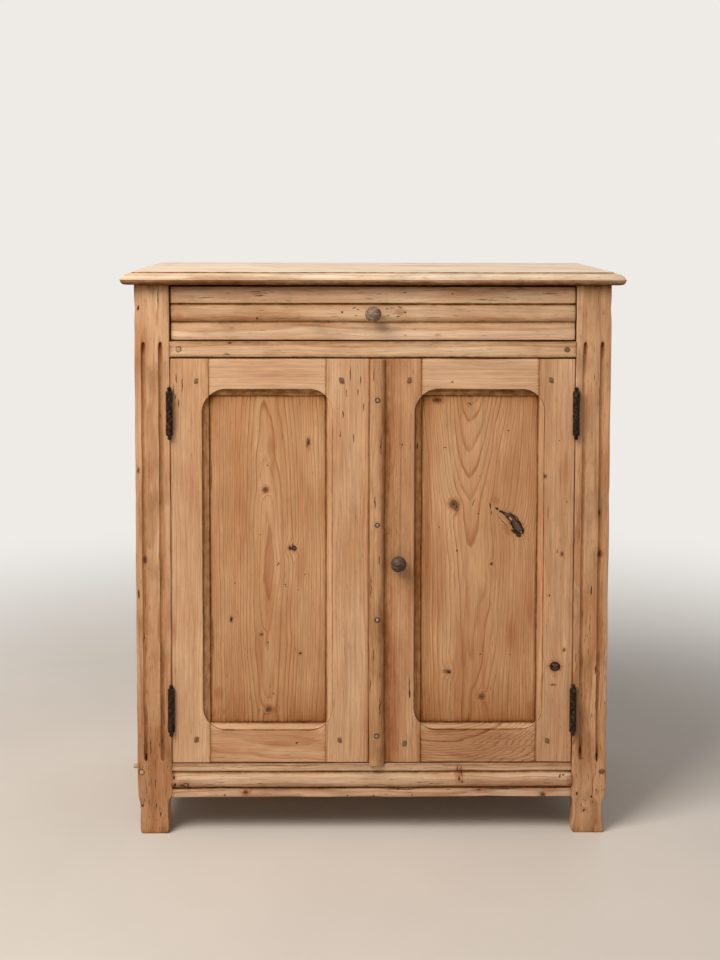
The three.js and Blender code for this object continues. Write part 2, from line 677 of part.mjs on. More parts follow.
// Bottom board, shelf on its cleats, and the stop behind the doors' top edge
const insideX = [FIT - sidePanelIn, sidePanelIn - FIT];
const betweenPostsY = [POST_DEPTH + FIT, backPostFront - FIT];
const boardFront = DOOR_THICKNESS + STOP_CLEARANCE;
piece('bottom_board', join([
  block(insideX, betweenPostsY, [boardBottom, boardTop]),
  block([FIT - openHalf, openHalf - FIT], [boardFront, backPanelIn - FIT], [boardBottom, boardTop]),
]), 'insidePine');
piece('shelf', block(insideX, betweenPostsY, [shelfBottom, shelfTop]), 'insidePine');
for (const [word, side] of [['left', -1], ['right', 1]]) {
  piece(`shelf_cleat_${word}`, block(
    both(side, sidePanelIn - FIT - CLEAT_THICKNESS, sidePanelIn - FIT),
    betweenPostsY,
    [shelfBottom - FIT - CLEAT_HEIGHT, shelfBottom - FIT],
  ), 'insidePine');
}
piece('door_stop', block(
  [-STOP_WIDTH / 2, STOP_WIDTH / 2],
  [boardFront, boardFront + STOP_DEPTH],
  [drawerRailBottom - FIT - STOP_HEIGHT, drawerRailBottom - FIT],
), 'insidePine');

// Drawer runners, each with the guide that keeps the drawer straight
for (const [word, side] of [['left', -1], ['right', 1]]) {
  const outer = sidePanelIn - FIT;
  const runner = join([
    block(both(side, openHalf - RUNNER_REACH, outer), betweenPostsY, [runnerBottom, runnerTop]),
    block(both(side, openHalf, outer), betweenPostsY, [runnerBottom, runnerTop + GUIDE_HEIGHT]),
  ]);
  piece(`drawer_runner_${word}`, runner.subtract(railPeg(side, FIT)), 'insidePine');
}

// Doors
// One ring of the moulded opening: a rectangle grown by offset, with its corners rounded so that
// each arc passes through the corner of the rectangle itself. The points run once round it.
function openingRing(sight, offset) {
  const radius = offset / (1 - Math.SQRT1_2);
  const ring = [];
  const corners = [[1, 1, 0], [-1, 1, 1], [-1, -1, 2], [1, -1, 3]];
  for (const [sx, sz, quarter] of corners) {
    const cx = (sx > 0 ? sight.x[1] : sight.x[0]) + sx * (offset - radius);
    const cz = (sz > 0 ? sight.z[1] : sight.z[0]) + sz * (offset - radius);
    for (let i = 0; i <= COVE_CORNER_STEPS; i += 1) {
      const turn = (Math.PI / 2) * (quarter + i / COVE_CORNER_STEPS);
      ring.push([cx + radius * Math.cos(turn), cz + radius * Math.sin(turn)]);
    }
  }
  return ring;
}

// The cove round a door's opening as [offset from the sight line, depth] from the face inwards.
const COVE_SECTION_SHARES = [[1, 0], [0.9, 0.12], [0.84, 0.5], [0.62, 0.82], [0.3, 0.95]];

// What is cut away for the opening: the cove in front, and the sight rectangle right through.
function openingCut(sight) {
  const section = COVE_SECTION_SHARES.map(([o, d]) => [o * COVE_WIDTH, d * COVE_DEPTH]);
  const levels = [[COVE_WIDTH, -OVERRUN], ...section, [COVE_FILLET, COVE_DEPTH]];
  const positions = [];
  const index = [];
  const count = openingRing(sight, COVE_WIDTH).length;
  for (const [offset, y] of levels) {
    for (const [x, z] of openingRing(sight, offset)) positions.push(x, y, z);
  }
  for (let level = 0; level + 1 < levels.length; level += 1) {
    for (let i = 0; i < count; i += 1) {
      const [a, b] = [level * count + i, level * count + ((i + 1) % count)];
      index.push(a, b, a + count, b, b + count, a + count);
    }
  }
  const middle = [(sight.x[0] + sight.x[1]) / 2, (sight.z[0] + sight.z[1]) / 2];
  for (const [level, flip] of [[0, true], [levels.length - 1, false]]) {
    const hub = positions.length / 3;
    positions.push(middle[0], levels[level][1], middle[1]);
    for (let i = 0; i < count; i += 1) {
      const [a, b] = [level * count + i, level * count + ((i + 1) % count)];
      index.push(...(flip ? [hub, b, a] : [hub, a, b]));
    }
  }
  const geometry = new THREE.BufferGeometry();
  geometry.setAttribute('position', new THREE.Float32BufferAttribute(positions, 3));
  geometry.setIndex(index);
  return solid(geometry).add(block(sight.x, [0, DOOR_THICKNESS + OVERRUN], sight.z));
}

// A door from its hinge edge to its meeting edge: two stiles, two rails, a panel and its pegs.
// extraCuts are taken out of the inner stile.
function door(word, side, outerStile, innerStile, meeting, extraCuts) {
  const outer = both(1, side * doorEdge, side * (doorEdge - outerStile));
  const inner = both(1, meeting, meeting + side * innerStile);
  const sight = {
    x: side < 0 ? [outer[1], inner[0]] : [inner[1], outer[0]],
    z: [sightBottom, sightTop],
  };
  const opening = openingCut(sight);
  const panelBack = PANEL_SET + PANEL_THICKNESS;
  const groove = block(
    grow(sight.x, PANEL_GROOVE), grow([PANEL_SET, panelBack], FIT), grow(sight.z, PANEL_GROOVE),
  );
  const stileZ = [doorBottom, doorTop];
  const railSpans = {
    top: [sightTop, doorTop],
    bottom: [doorBottom, sightBottom],
  };
  const tenons = {
    top: [sightTop + PANEL_GROOVE + DOOR_TENON_RISE, doorTop - DOOR_TENON_SHOULDER],
    bottom: [doorBottom + DOOR_TENON_SHOULDER, sightBottom - PANEL_GROOVE - DOOR_TENON_RISE],
  };
  const tenonOf = (place, left) => ({
    x: left
      ? [sight.x[0] - DOOR_TENON_LENGTH, sight.x[0] + OVERRUN]
      : [sight.x[1] - OVERRUN, sight.x[1] + DOOR_TENON_LENGTH],
    y: [PANEL_SET, panelBack],
    z: tenons[place],
  });
  const pegLevels = {
    top: sightTop + DOOR_TOP_RAIL * TOP_PEG_SHARE,
    bottom: doorBottom + DOOR_BOTTOM_RAIL * BOTTOM_PEG_SHARE,
  };
  const pegX = [sight.x[0] - PEG_INSET, sight.x[1] + PEG_INSET];
  const peg = (place, left, grown) => pegBody(
    pegX[left ? 0 : 1], pegLevels[place], -PEG_PROUD, PEG_LENGTH, PEG_WIDTH, PEG_HEIGHT, grown,
  );

  // The pegs are fast in the stile and pass through the rails' tenons.
  const stile = (span, left) => {
    const places = ['top', 'bottom'];
    const mortises = places.map((place) => mortise(tenonOf(place, left)));
    const body = cut(block(span, [0, DOOR_THICKNESS], stileZ), [opening, groove, ...mortises]);
    return join([body, ...places.map((place) => peg(place, left, 0))]);
  };
  const hingeCuts = hingeLevels.flatMap((level) => [
    hingePocket(side, level),
    leafBlock(side, 1, level, FIT),
  ]);
  piece(`${word}_door_stile_outer`, cut(stile(outer, side < 0), hingeCuts), 'honeyPine');
  piece(`${word}_door_stile_inner`, cut(stile(inner, side > 0), extraCuts), 'honeyPine');

  for (const place of ['top', 'bottom']) {
    const body = join([
      block(grow(sight.x, -FIT), [0, DOOR_THICKNESS], railSpans[place]),
      tenonBlock(tenonOf(place, true)),
      tenonBlock(tenonOf(place, false)),
    ]);
    const tools = [opening, groove, peg(place, true, FIT), peg(place, false, FIT)];
    piece(`${word}_door_rail_${place}`, cut(body, tools), 'honeyPine');
  }
  piece(`${word}_door_panel`, block(
    grow(sight.x, PANEL_GROOVE - PANEL_MARGIN),
    [PANEL_SET, panelBack],
    grow(sight.z, PANEL_GROOVE - PANEL_MARGIN),
  ), 'panelPine');
}

// Strip over the meeting line and its nails
const stripLeft = rightMeeting;
const stripRight = stripLeft + STRIP_WIDTH;
const stripFace = -FIT - STRIP_PROUD;
const nailX = stripLeft + STRIP_WIDTH * NAIL_PLACE_SHARE;
const nailHeights = NAIL_HEIGHT_SHARES.map((share) => doorBottom + DOOR_HEIGHT * share);

// A nail driven through the strip into the door's inner stile, with its head a little proud.
function nail(z, grown) {
  const [head, neck] = [stripFace - NAIL_HEAD_PROUD, stripFace + NAIL_HEAD_PROUD];
  const end = head + NAIL_LENGTH + grown;
  return turned([
    [0, head],
    [NAIL_HEAD_RADIUS + grown, head],
    [NAIL_HEAD_RADIUS + grown, neck],
    [NAIL_SHANK_RADIUS + grown, neck],
    [NAIL_SHANK_RADIUS + grown, end],
    [0, end],
  ], NAIL_SIDES, alongY(nailX, z));
}

const spindleHole = (x, z) => bar(
  SPINDLE_RADIUS + SPINDLE_CLEARANCE, -OVERRUN, DOOR_THICKNESS + OVERRUN, KNOB_SIDES, alongY(x, z),
);
door('left', -1, LEFT_OUTER_STILE, LEFT_INNER_STILE, leftMeeting, []);
door('right', 1, RIGHT_OUTER_STILE, RIGHT_INNER_STILE, rightMeeting, [
  spindleHole(knobX, knobZ),
  ...nailHeights.map((z) => nail(z, FIT)),
]);

function stripOutline() {
  const points = [
    [stripLeft, -FIT],
    [stripLeft, stripFace + STRIP_LEFT_CHAMFER],
    [stripLeft + STRIP_LEFT_CHAMFER, stripFace],
  ];
  for (let i = 0; i <= ROUND_STEPS; i += 1) {
    const turn = (Math.PI / 2) * (i / ROUND_STEPS);
    points.push([
      stripRight - STRIP_ROUND * (1 - Math.sin(turn)),
      stripFace + (STRIP_PROUD - STRIP_LEFT_CHAMFER) * (1 - Math.cos(turn)),
    ]);
  }
  points.push([stripRight, -FIT]);
  return points;
}

// The outline lies in the plan, so it is drawn as [x, y] and stood up along Z.
const stripShape = new THREE.Shape(stripOutline().map(([x, y]) => new THREE.Vector2(x, y)));
const stripGeometry = new THREE.ExtrudeGeometry(
  stripShape, { depth: DOOR_HEIGHT + STRIP_TAIL, bevelEnabled: false },
);
stripGeometry.translate(0, 0, doorBottom - STRIP_TAIL);
piece('astragal_strip', join([solid(stripGeometry), ...nailHeights.map((z) => nail(z, 0))]), 'honeyPine');

// Hinges
for (const [word, side] of [['left', -1], ['right', 1]]) {
  for (const [place, level] of [['bottom', hingeLevels[0]], ['top', hingeLevels[1]]]) {
    piece(`hinge_${word}_${place}_post_half`, hingeHalf(side, -1, level), 'darkIron');
    piece(`hinge_${word}_${place}_door_half`, hingeHalf(side, 1, level), 'darkIron');
  }
}

// Knobs: a neck that swells into a flattened ball, on a round spindle that passes through the wood
function knobBody(x, z, tail) {
  const ball = KNOB_PROUD - KNOB_NECK_LENGTH;
  const profile = [
    [0, tail],
    [SPINDLE_RADIUS, tail],
    [SPINDLE_RADIUS, -FIT],
    [KNOB_NECK_RADIUS, -FIT],
    [KNOB_NECK_RADIUS, -KNOB_NECK_LENGTH / 2],
  ];
  for (let i = 1; i <= KNOB_STEPS; i += 1) {
    const turn = Math.PI * (i / (KNOB_STEPS + 1));
    const round = KNOB_RADIUS * Math.sin(turn) ** KNOB_FULLNESS_SHARE;
    const radius = i === 1 ? Math.max(round, KNOB_NECK_RADIUS) : round;
    profile.push([radius, -KNOB_NECK_LENGTH - ball * (1 - Math.cos(turn)) / 2]);
  }
  profile.push([0, -KNOB_PROUD]);
  return turned(profile, KNOB_SIDES, alongY(x, z));
}

const latchFront = DOOR_THICKNESS + LATCH_CLEARANCE;
const latchBack = latchFront + LATCH_THICKNESS;
piece('door_knob', knobBody(knobX, knobZ, latchBack + SPINDLE_TAIL), 'wornKnob');

// Turn button: it hangs from the spindle and reaches past the meeting line when turned level
const latchReach = knobX - leftMeeting + LATCH_CATCH;
const latchBore = bar(
  SPINDLE_RADIUS + FIT, latchFront - OVERRUN, latchBack + OVERRUN, KNOB_SIDES, alongY(knobX, knobZ),
);
piece('latch_button', prism([
  [knobX - LATCH_WIDTH / 2, knobZ - latchReach + LATCH_WIDTH / 4],
  [knobX - LATCH_WIDTH / 4, knobZ - latchReach],
  [knobX + LATCH_WIDTH / 4, knobZ - latchReach],
  [knobX + LATCH_WIDTH / 2, knobZ - latchReach + LATCH_WIDTH / 4],
  [knobX + LATCH_WIDTH / 2, knobZ + LATCH_WIDTH / 4],
  [knobX + LATCH_WIDTH / 4, knobZ + LATCH_WIDTH / 2],
  [knobX - LATCH_WIDTH / 4, knobZ + LATCH_WIDTH / 2],
  [knobX - LATCH_WIDTH / 2, knobZ + LATCH_WIDTH / 4],
], 'y', latchFront, latchBack).subtract(latchBore), 'honeyPine');

// Slide bolt: a plate with two staples on the back of the left door, and the rod that they guide
const plateZ = [boltPlateTop - BOLT_PLATE_LENGTH, boltPlateTop];
const plateMiddle = (plateZ[0] + plateZ[1]) / 2;
const stapleZ = [plateMiddle - STAPLE_SPAN / 2, plateMiddle + STAPLE_SPAN / 2];
const atBolt = (g) => g.rotateX(Math.PI / 2).translate(boltX, boltY, 0);
const plateParts = [
  block(
    grow([boltX, boltX], BOLT_PLATE_WIDTH / 2), [DOOR_THICKNESS + FIT, plateBack], plateZ,
  ),
  ...stapleZ.map((z) => block(
    grow([boltX, boltX], STAPLE_WIDTH / 2),
    [plateBack - BOLT_PLATE_THICKNESS / 2, plateBack + STAPLE_DEPTH],
    grow([z, z], STAPLE_HEIGHT / 2),
  )),
];
const rodBore = bar(
  BOLT_RADIUS + BOLT_CLEARANCE, plateZ[0] - OVERRUN, plateZ[1] + OVERRUN, BOLT_SIDES, atBolt,
);
piece('bolt_plate', join(plateParts).subtract(rodBore), 'darkIron');
const gripZ = stapleZ[0] + STAPLE_HEIGHT / 2 + BOLT_GRIP_RADIUS + FIT;
piece('bolt_rod', join([
  bar(BOLT_RADIUS, boltTip - BOLT_LENGTH, boltTip, BOLT_SIDES, atBolt),
  bar(BOLT_GRIP_RADIUS, boltY, boltY + BOLT_GRIP_LENGTH, BOLT_SIDES, alongY(boltX, gripZ)),
]), 'darkIron');

// Drawer
const lapDepth = DRAWER_FRONT_THICKNESS - DRAWER_LAP;
const bottomBoardZ = [
  drawerBottom + DRAWER_BOTTOM_LIFT,
  drawerBottom + DRAWER_BOTTOM_LIFT + DRAWER_BOTTOM_THICKNESS,
];

// The tails of a drawer side where they enter the front, splayed towards their ends.
function tails(side, grown) {
  const height = (drawerSideTop - drawerBottom) / TAIL_COUNT;
  const x = both(side, drawerSideIn, drawerHalf + (grown > 0 ? OVERRUN : 0));
  const end = DRAWER_FRONT_THICKNESS - lapDepth - grown + FIT;
  const root = DRAWER_FRONT_THICKNESS + OVERRUN;
  const shapes = [];
  for (let i = 0; i < TAIL_COUNT; i += 1) {
    const z = drawerBottom + height * (i + 1 / 2);
    const [narrow, wide] = [TAIL_HALF_WIDTH + grown, TAIL_HALF_WIDTH + TAIL_SPLAY + grown];
    shapes.push(prism([[root, z - narrow], [end, z - wide], [end, z + wide], [root, z + narrow]],
      'x', x[0] - (grown && side > 0 ? grown : 0), x[1] + (grown && side < 0 ? grown : 0)));
  }
  return shapes;
}

function frontOutline() {
  const lowBandTopZ = drawerBottom + LOW_BAND_HEIGHT;
  const topBandBottom = drawerTop - TOP_BAND_HEIGHT;
  const points = [
    [DRAWER_FRONT_THICKNESS, drawerBottom],
    [0, drawerBottom],
    [0, lowBandTopZ],
    [LOW_BAND_STEP, lowBandTopZ],
  ];
  for (let i = 1; i <= ROUND_STEPS; i += 1) {
    const turn = (Math.PI / 2) * (i / ROUND_STEPS);
    points.push([LOW_BAND_STEP * (1 - Math.sin(turn)), lowBandTopZ + BAND_ROUND * (1 - Math.cos(turn))]);
  }
  points.push([0, topBandBottom - BAND_GROOVE]);
  points.push([BAND_GROOVE_DEPTH, topBandBottom - BAND_GROOVE]);
  points.push([BAND_GROOVE_DEPTH, topBandBottom]);
  points.push([0, topBandBottom]);
  points.push([0, drawerTop]);
  points.push([DRAWER_FRONT_THICKNESS, drawerTop]);
  return points;
}

const drawerKnobZ = drawerBottom + DRAWER_FRONT_HEIGHT / 2;
const frontGroove = block(
  grow([-drawerSideIn, drawerSideIn], DRAWER_GROOVE),
  [DRAWER_FRONT_THICKNESS - DRAWER_GROOVE, DRAWER_FRONT_THICKNESS + OVERRUN],
  grow(bottomBoardZ, FIT),
);
piece('drawer_front', cut(prism(frontOutline(), 'x', -drawerHalf, drawerHalf), [
  frontGroove,
  ...tails(-1, FIT),
  ...tails(1, FIT),
  spindleHole(0, drawerKnobZ),
]), 'honeyPine');
for (const [word, side] of [['left', -1], ['right', 1]]) {
  const sideBody = block(
    both(side, drawerSideIn, drawerHalf),
    [DRAWER_FRONT_THICKNESS + FIT, drawerEnd],
    [drawerBottom, drawerSideTop],
  );
  const grooveX = both(side, drawerSideIn - OVERRUN, drawerSideIn + DRAWER_GROOVE);
  const grooveY = [0, drawerEnd + OVERRUN];
  const groove = block(grooveX, grooveY, grow(bottomBoardZ, FIT));
  piece(`drawer_side_${word}`, cut(join([sideBody, ...tails(side, 0)]), [groove]), 'insidePine');
}
piece('drawer_back', block(
  [FIT - drawerSideIn, drawerSideIn - FIT],
  [drawerEnd - DRAWER_SIDE_THICKNESS, drawerEnd],
  [bottomBoardZ[1] + FIT, drawerSideTop - DRAWER_SIDE_DROP / 2],
), 'insidePine');
piece('drawer_bottom', block(
  grow([-drawerSideIn, drawerSideIn], DRAWER_GROOVE - PANEL_MARGIN),
  [DRAWER_FRONT_THICKNESS - DRAWER_GROOVE + PANEL_MARGIN, drawerEnd],
  bottomBoardZ,
), 'insidePine');
piece('drawer_knob', knobBody(0, drawerKnobZ, DRAWER_FRONT_THICKNESS + SPINDLE_TAIL), 'wornKnob');

// Pegs of the case: two in the drawer rail, two at the feet and one left standing out of the side
for (const [word, side] of [['left', -1], ['right', 1]]) {
  piece(`drawer_rail_peg_${word}`, railPeg(side, 0), 'endGrain');
  piece(`foot_peg_${word}`, postPeg(side, 0), 'endGrain');
}
piece('side_peg', sidePeg(0), 'honeyPine');

// The box runs from the knobs' tips to the back of the top, and is centred over the origin
drawn.position.set(0, (KNOB_PROUD - topBack) / 2, 0);

export default cupboard;
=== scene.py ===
"""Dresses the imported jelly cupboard: stripped pine boards, forged hinges and worn knobs in a pale studio.

Sizes in this file are millimetres: x to the right, y back from the faces of the front posts, z up.
"""
import math
from functools import partial

import bmesh
import bpy
import numpy as np
from mathutils import Euler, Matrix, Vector


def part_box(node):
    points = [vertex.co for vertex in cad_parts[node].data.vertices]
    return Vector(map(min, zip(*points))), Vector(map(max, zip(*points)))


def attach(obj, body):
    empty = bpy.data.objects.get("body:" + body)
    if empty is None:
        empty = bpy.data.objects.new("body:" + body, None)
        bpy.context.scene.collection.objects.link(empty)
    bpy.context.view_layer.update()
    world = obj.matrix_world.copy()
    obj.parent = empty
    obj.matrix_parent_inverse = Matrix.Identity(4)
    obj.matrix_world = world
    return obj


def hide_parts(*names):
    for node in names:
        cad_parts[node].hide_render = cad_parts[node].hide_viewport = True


bl_info = {
    "name": "Jelly cupboard in stripped pine",
    "version": (1, 0, 0),
    "blender": (4, 5, 0),
    "location": "View3D > Sidebar > Cupboard",
    "description": "Builds the boards, ironwork and knobs of a pine jelly cupboard round its CAD frame",
    "category": "Object",
}

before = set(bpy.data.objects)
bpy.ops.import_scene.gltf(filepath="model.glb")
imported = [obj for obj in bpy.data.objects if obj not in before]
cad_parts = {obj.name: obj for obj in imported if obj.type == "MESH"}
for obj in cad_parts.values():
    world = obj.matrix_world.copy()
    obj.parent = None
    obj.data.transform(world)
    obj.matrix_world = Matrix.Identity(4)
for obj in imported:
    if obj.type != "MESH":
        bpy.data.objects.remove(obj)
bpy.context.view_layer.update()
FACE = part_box("post_front_left")[0].y  # metres: the plane of the front posts' faces
MM = 0.001


def extent(node):
    """Lowest and highest corner of a CAD node in millimetres from the posts' faces."""
    low, high = (np.array(corner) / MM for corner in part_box(node))
    low[1] -= FACE / MM
    high[1] -= FACE / MM
    return low, high


POST_TOP = extent("post_front_left")[1][2]
CASE_HALF = extent("post_front_right")[1][0]
OPENING_HALF = extent("post_front_right")[0][0]
RAIL_LOW, RAIL_HIGH = extent("bottom_rail")[0][2], extent("bottom_rail")[1][2]
DOOR_LOW, DOOR_HIGH = extent("left_door_stile_outer")[0][2], extent("left_door_stile_outer")[1][2]
DOOR_THICK = 22.0
BACK_POST_FRONT = extent("post_back_left")[0][1]
CASE_BACK = extent("post_back_left")[1][1]
SIGHT_LOW, SIGHT_HIGH = 214.0, 840.0  # the openings in the door frames, upright and across
SIGHTS = {"left": (-307.0, -88.0), "right": (91.0, 310.0)}
BACKDROP = "EEEBE7"
# Old polish under the bottom rails' bead: at the left end, 50 mm in, 60 mm before the right end, at that end.
INK = {"left": (0.8, 0.65, 0.45, 1.0), "right": (1.0, 0.9, 0.3, 0.3)}
FAR_OFF = 60.0  # spots that lie further than this past the middle belong to the other side
DEEPER = (0.79, 0.68, 0.6, 1.0)  # darker patches of a board, as shares of its summer wood's colour
FLUTES = (396.5, 428.5)  # the middle lines of a front post's flutes, from the middle of the cupboard
FLUTE_ENDS = (142.5, 941.5)
NAILS = (193.4, 416.7, 596.9, 832.5)  # heights of the cover strip's nails
SIDES = {"left": -1, "right": 1}
QUARTER = np.radians(np.linspace(0, 90, 9))
TOP_UNDER = 1048.0
PANEL_TOP = 980.0  # where the side and back panels end under their top rails
INTO_POST = 0.3  # how far a rail's end runs past the post's edge, so that no gap shows
INTO_GROOVE = 0.5  # the same for the edges of the side and back panels
FRONT_THICK = 22.0  # base rail and drawer front
COVE_DEPTH = 7.0  # from a door frame's face down to its panel
CORNER = np.radians([0, 30, 60, 90])  # the points round a worn edge


class CupboardWood(bpy.types.PropertyGroup):
    """Colours and wear of the stripped pine."""

    honey: bpy.props.FloatVectorProperty(
        name="Frame pine", description="Summer wood of the posts, rails and door frames",
        subtype="COLOR", size=3, min=0, max=1, default=(0.702, 0.442, 0.262))
    panel: bpy.props.FloatVectorProperty(
        name="Panel pine", description="Summer wood of the door panels",
        subtype="COLOR", size=3, min=0, max=1, default=(0.645, 0.378, 0.198))
    waviness: bpy.props.FloatProperty(
        name="Hand-planed waviness", description="How far a planed face wanders from flat",
        subtype="DISTANCE", unit="LENGTH", min=0, max=0.001, default=0.00022)
    arris: bpy.props.FloatProperty(
        name="Worn edge", description="Radius that handling has given the boards' edges",
        subtype="DISTANCE", unit="LENGTH", min=0.0003, max=0.003, default=0.0011)


class CupboardStudio(bpy.types.PropertyGroup):
    """Floor and lamps."""

    floor: bpy.props.FloatVectorProperty(
        name="Floor", description="Colour of the plain floor", subtype="COLOR", size=3, min=0, max=1,
        default=(0.69, 0.65, 0.60))
    key: bpy.props.FloatProperty(
        name="Window light", description="Power of the large lamp at the upper left",
        subtype="POWER", unit="POWER", min=0, max=500, default=131.0)
    fill: bpy.props.FloatProperty(
        name="Fill light", description="Power of the weak lamp at the right",
        subtype="POWER", unit="POWER", min=0, max=500, default=7.0)
    room: bpy.props.FloatProperty(
        name="Room light", description="Strength of the even light of the room", min=0, max=2, default=0.27)


def linear(code):
    """A colour written as sRGB hex, turned to the linear values that Blender works in, with alpha 1.

    Anything that isn't written as text comes back as it is."""
    if not isinstance(code, str):
        return code
    parts = np.array([int(code[i:i + 2], 16) for i in (0, 2, 4)]) / 255
    return [*np.where(parts <= 0.04045, parts / 12.92, ((parts + 0.055) / 1.055) ** 2.4), 1.0]


# Shapes


def to_ends(places, low, high):
    """How far each place is from the nearer end, less than nothing beyond it."""
    return np.minimum(places - low, high - places)


def fading(distance, reach):
    """exp(−d / reach): 1 at no distance, or less than none, and falling off from there."""
    return np.exp(-np.maximum(distance, 0) / reach)


def wavering(places, seed, shortest, longest, count):
    """A sum of sine waves along a board, their lengths (over 2π) and phases drawn from the seed."""
    rng = np.random.default_rng(seed)
    return sum(np.sin(places / rng.uniform(shortest, longest) + rng.uniform(0, 6)) for _ in range(count))


def stations(low, high, step, dense=()):
    """Distances from low to high about a step apart, closer near both ends and in the dense spans."""
    span = high - low
    near = [d for d in (0, 1, 3, 7, 14) if d < span / 2.2]
    places = [low + d for d in near] + [high - d for d in near]
    places += list(np.linspace(low, high, max(3, int(span / step) + 1))[1:-1])
    for start, end, spacing in dense:
        places += list(np.arange(start, end, spacing))
    places = np.unique(np.round([p for p in places if low <= p <= high], 3))
    return places[np.concatenate([[True], np.diff(places) > 0.25])]


def rounded_box(a_ends, b_ends, radius, a_places, b_places):
    """A box section with rounded corners, counterclockwise from its low b side.

    a = a0 + r + share (a1 − a0 − 2 r) along the straight sides, and centre + r (cos, sin) round each corner.
    The ends and the radius may change from row to row: they are columns of numbers."""
    (a0, a1), (b0, b1) = (tuple(np.atleast_1d(e)[:, None] for e in ends) for ends in (a_ends, b_ends))
    r = np.atleast_1d(radius)[:, None]
    turn = CORNER[None, :]
    a_share, b_share = np.asarray(a_places)[None, :], np.asarray(b_places)[None, :]
    rows = max(x.shape[0] for x in (a0, a1, b0, b1, r))
    sides = [
        (a0 + r + (a1 - a0 - 2 * r) * a_share, b0 + 0 * a_share),
        (a1 - r + r * np.sin(turn), b0 + r - r * np.cos(turn)),
        (a1 + 0 * b_share, b0 + r + (b1 - b0 - 2 * r) * b_share),
        (a1 - r + r * np.cos(turn), b1 - r + r * np.sin(turn)),
        (a1 - r - (a1 - a0 - 2 * r) * a_share, b1 + 0 * a_share),
        (a0 + r - r * np.sin(turn), b1 - r + r * np.cos(turn)),
        (a0 + 0 * b_share, b1 - r - (b1 - b0 - 2 * r) * b_share),
        (a0 + r - r * np.cos(turn), b0 + r - r * np.sin(turn)),
    ]
    return np.concatenate([np.stack([c + np.zeros((rows, 1)) for c in side], -1) for side in sides], 1)


def with_grime_and_shade(section, grime=0.0):
    """Adds the third column: how much soiling and painted shade darken each point."""
    dirt = np.broadcast_to(np.asarray(grime, float), section.shape[:2])[..., None]
    return np.concatenate([section, dirt], -1)


def set_in(outline, depth):
    """Moves each point of a closed outline inwards, along the normal of the line through its neighbours."""
    run = np.roll(outline[:, :2], -1, 0) - np.roll(outline[:, :2], 1, 0)
    length = np.maximum(np.linalg.norm(run, axis=1, keepdims=True), 1e-9)
    moved = outline.copy()
    moved[:, :2] -= depth * np.stack([run[:, 1], -run[:, 0]], 1) / length
    return moved


def carried(sections, along, axis, tip=0.8):
    """Carries closed outlines (rows, columns, a b grime) along an axis, both ends rounded by the radius tip.

    The point of row i is (a, b) across the axis and along[i] on it; an end ring is set in by
    tip (1 − sin t) and stands tip (1 − cos t) from the end, for t = 0 and 40 degrees."""
    along = np.asarray(along, float).copy()
    sections = np.broadcast_to(sections, (len(along), *sections.shape[1:])).copy()
    sines, cosines = np.sin(np.radians([0, 40])), np.cos(np.radians([0, 40]))
    first, last = ([set_in(sections[end], tip * (1 - sine)) for sine in sines] for end in (0, -1))
    rows = np.concatenate([first, sections, last[::-1]])
    back = tip * (1 - cosines)
    places = [along[0] + back, [along[0] + tip], along[1:-1], [along[-1] - tip], (along[-1] - back)[::-1]]
    run = np.concatenate(places)[:, None] + 0 * rows[..., 0]
    a, b, grime = np.moveaxis(rows, -1, 0)
    return np.stack([*{"x": (run, a, b), "y": (b, run, a), "z": (a, b, run)}[axis], grime], -1)


def board(low, high, axis, arris=1.1, step=30, seed=0, dirt=0.5, dense_along=(), dense_across=()):
    """A planed board: a rounded box section carried along an axis, its corner radius wandering on the way.

    The dense spans (start, end, spacing) get closer points along the axis and on the next axis after it.
    The soiling and painted shade on a point fall off as exp(−d / 3 mm) with its distance d from the board's
    nearest edge."""
    low, high = np.asarray(low, float), np.asarray(high, float)
    l_axis = "xyz".index(axis)
    a_axis, b_axis = (l_axis + 1) % 3, (l_axis + 2) % 3
    along = stations(low[l_axis], high[l_axis], step, dense_along)
    radius = arris * (1 + 0.5 * (wavering(along, seed, 25, 160, 3) / 3))
    shares = []
    for k, dense in ((a_axis, dense_across), (b_axis, ())):
        span = high[k] - low[k]
        dense = [(start - low[k], end - low[k], gap) for start, end, gap in dense]
        shares.append(stations(0, span, step, dense)[1:-1] / span if span > 6 else np.array([0.5]))
    section = rounded_box((low[a_axis], high[a_axis]), (low[b_axis], high[b_axis]), radius, *shares)
    points = carried(with_grime_and_shade(section), along, axis, tip=arris)
    to_face = np.minimum(points[..., :3] - low, high - points[..., :3])
    edge = np.sort(to_face, -1)[..., 1]
    points[..., 3] = dirt * fading(edge - arris, 3)
    return points


def turned(profile, centre, turns=48, axis="y"):
    """A turned or forged piece: each (place, radius, grime) of the profile is carried round the axis, which
    runs from back to front through the centre (x, z), or upright through the centre (x, y)."""
    place, radius, grime = (np.asarray(c, float)[:, None] for c in zip(*profile))
    angle = np.linspace(0, 2 * math.pi, turns, endpoint=False)[None, :]
    spread = 0 * angle
    sine, cosine = radius * np.sin(angle), radius * np.cos(angle)
    if axis == "z":
        return np.stack([centre[0] + cosine, centre[1] + sine, place + spread, grime + spread], -1)
    return np.stack([centre[0] + sine, place + spread, centre[1] + cosine, grime + spread], -1)[::-1, ::-1]


def wander(points, seed, size, wave=170.0):
    """Moves points by a sum of six plane waves: size · a_i · sin(2π k_i·p + phase_i), drawn from the seed."""
    rng = np.random.default_rng(seed)
    direction = rng.normal(size=(6, 3))
    direction /= np.linalg.norm(direction, axis=1, keepdims=True)
    waves = direction / (wave * rng.uniform(0.4, 1.6, (6, 1)))
    phase = rng.uniform(0, 2 * math.pi, 6)
    amplitude = rng.normal(size=(6, 3)) / 2.2
    return points + size * np.sin(2 * math.pi * points @ waves.T + phase) @ amplitude


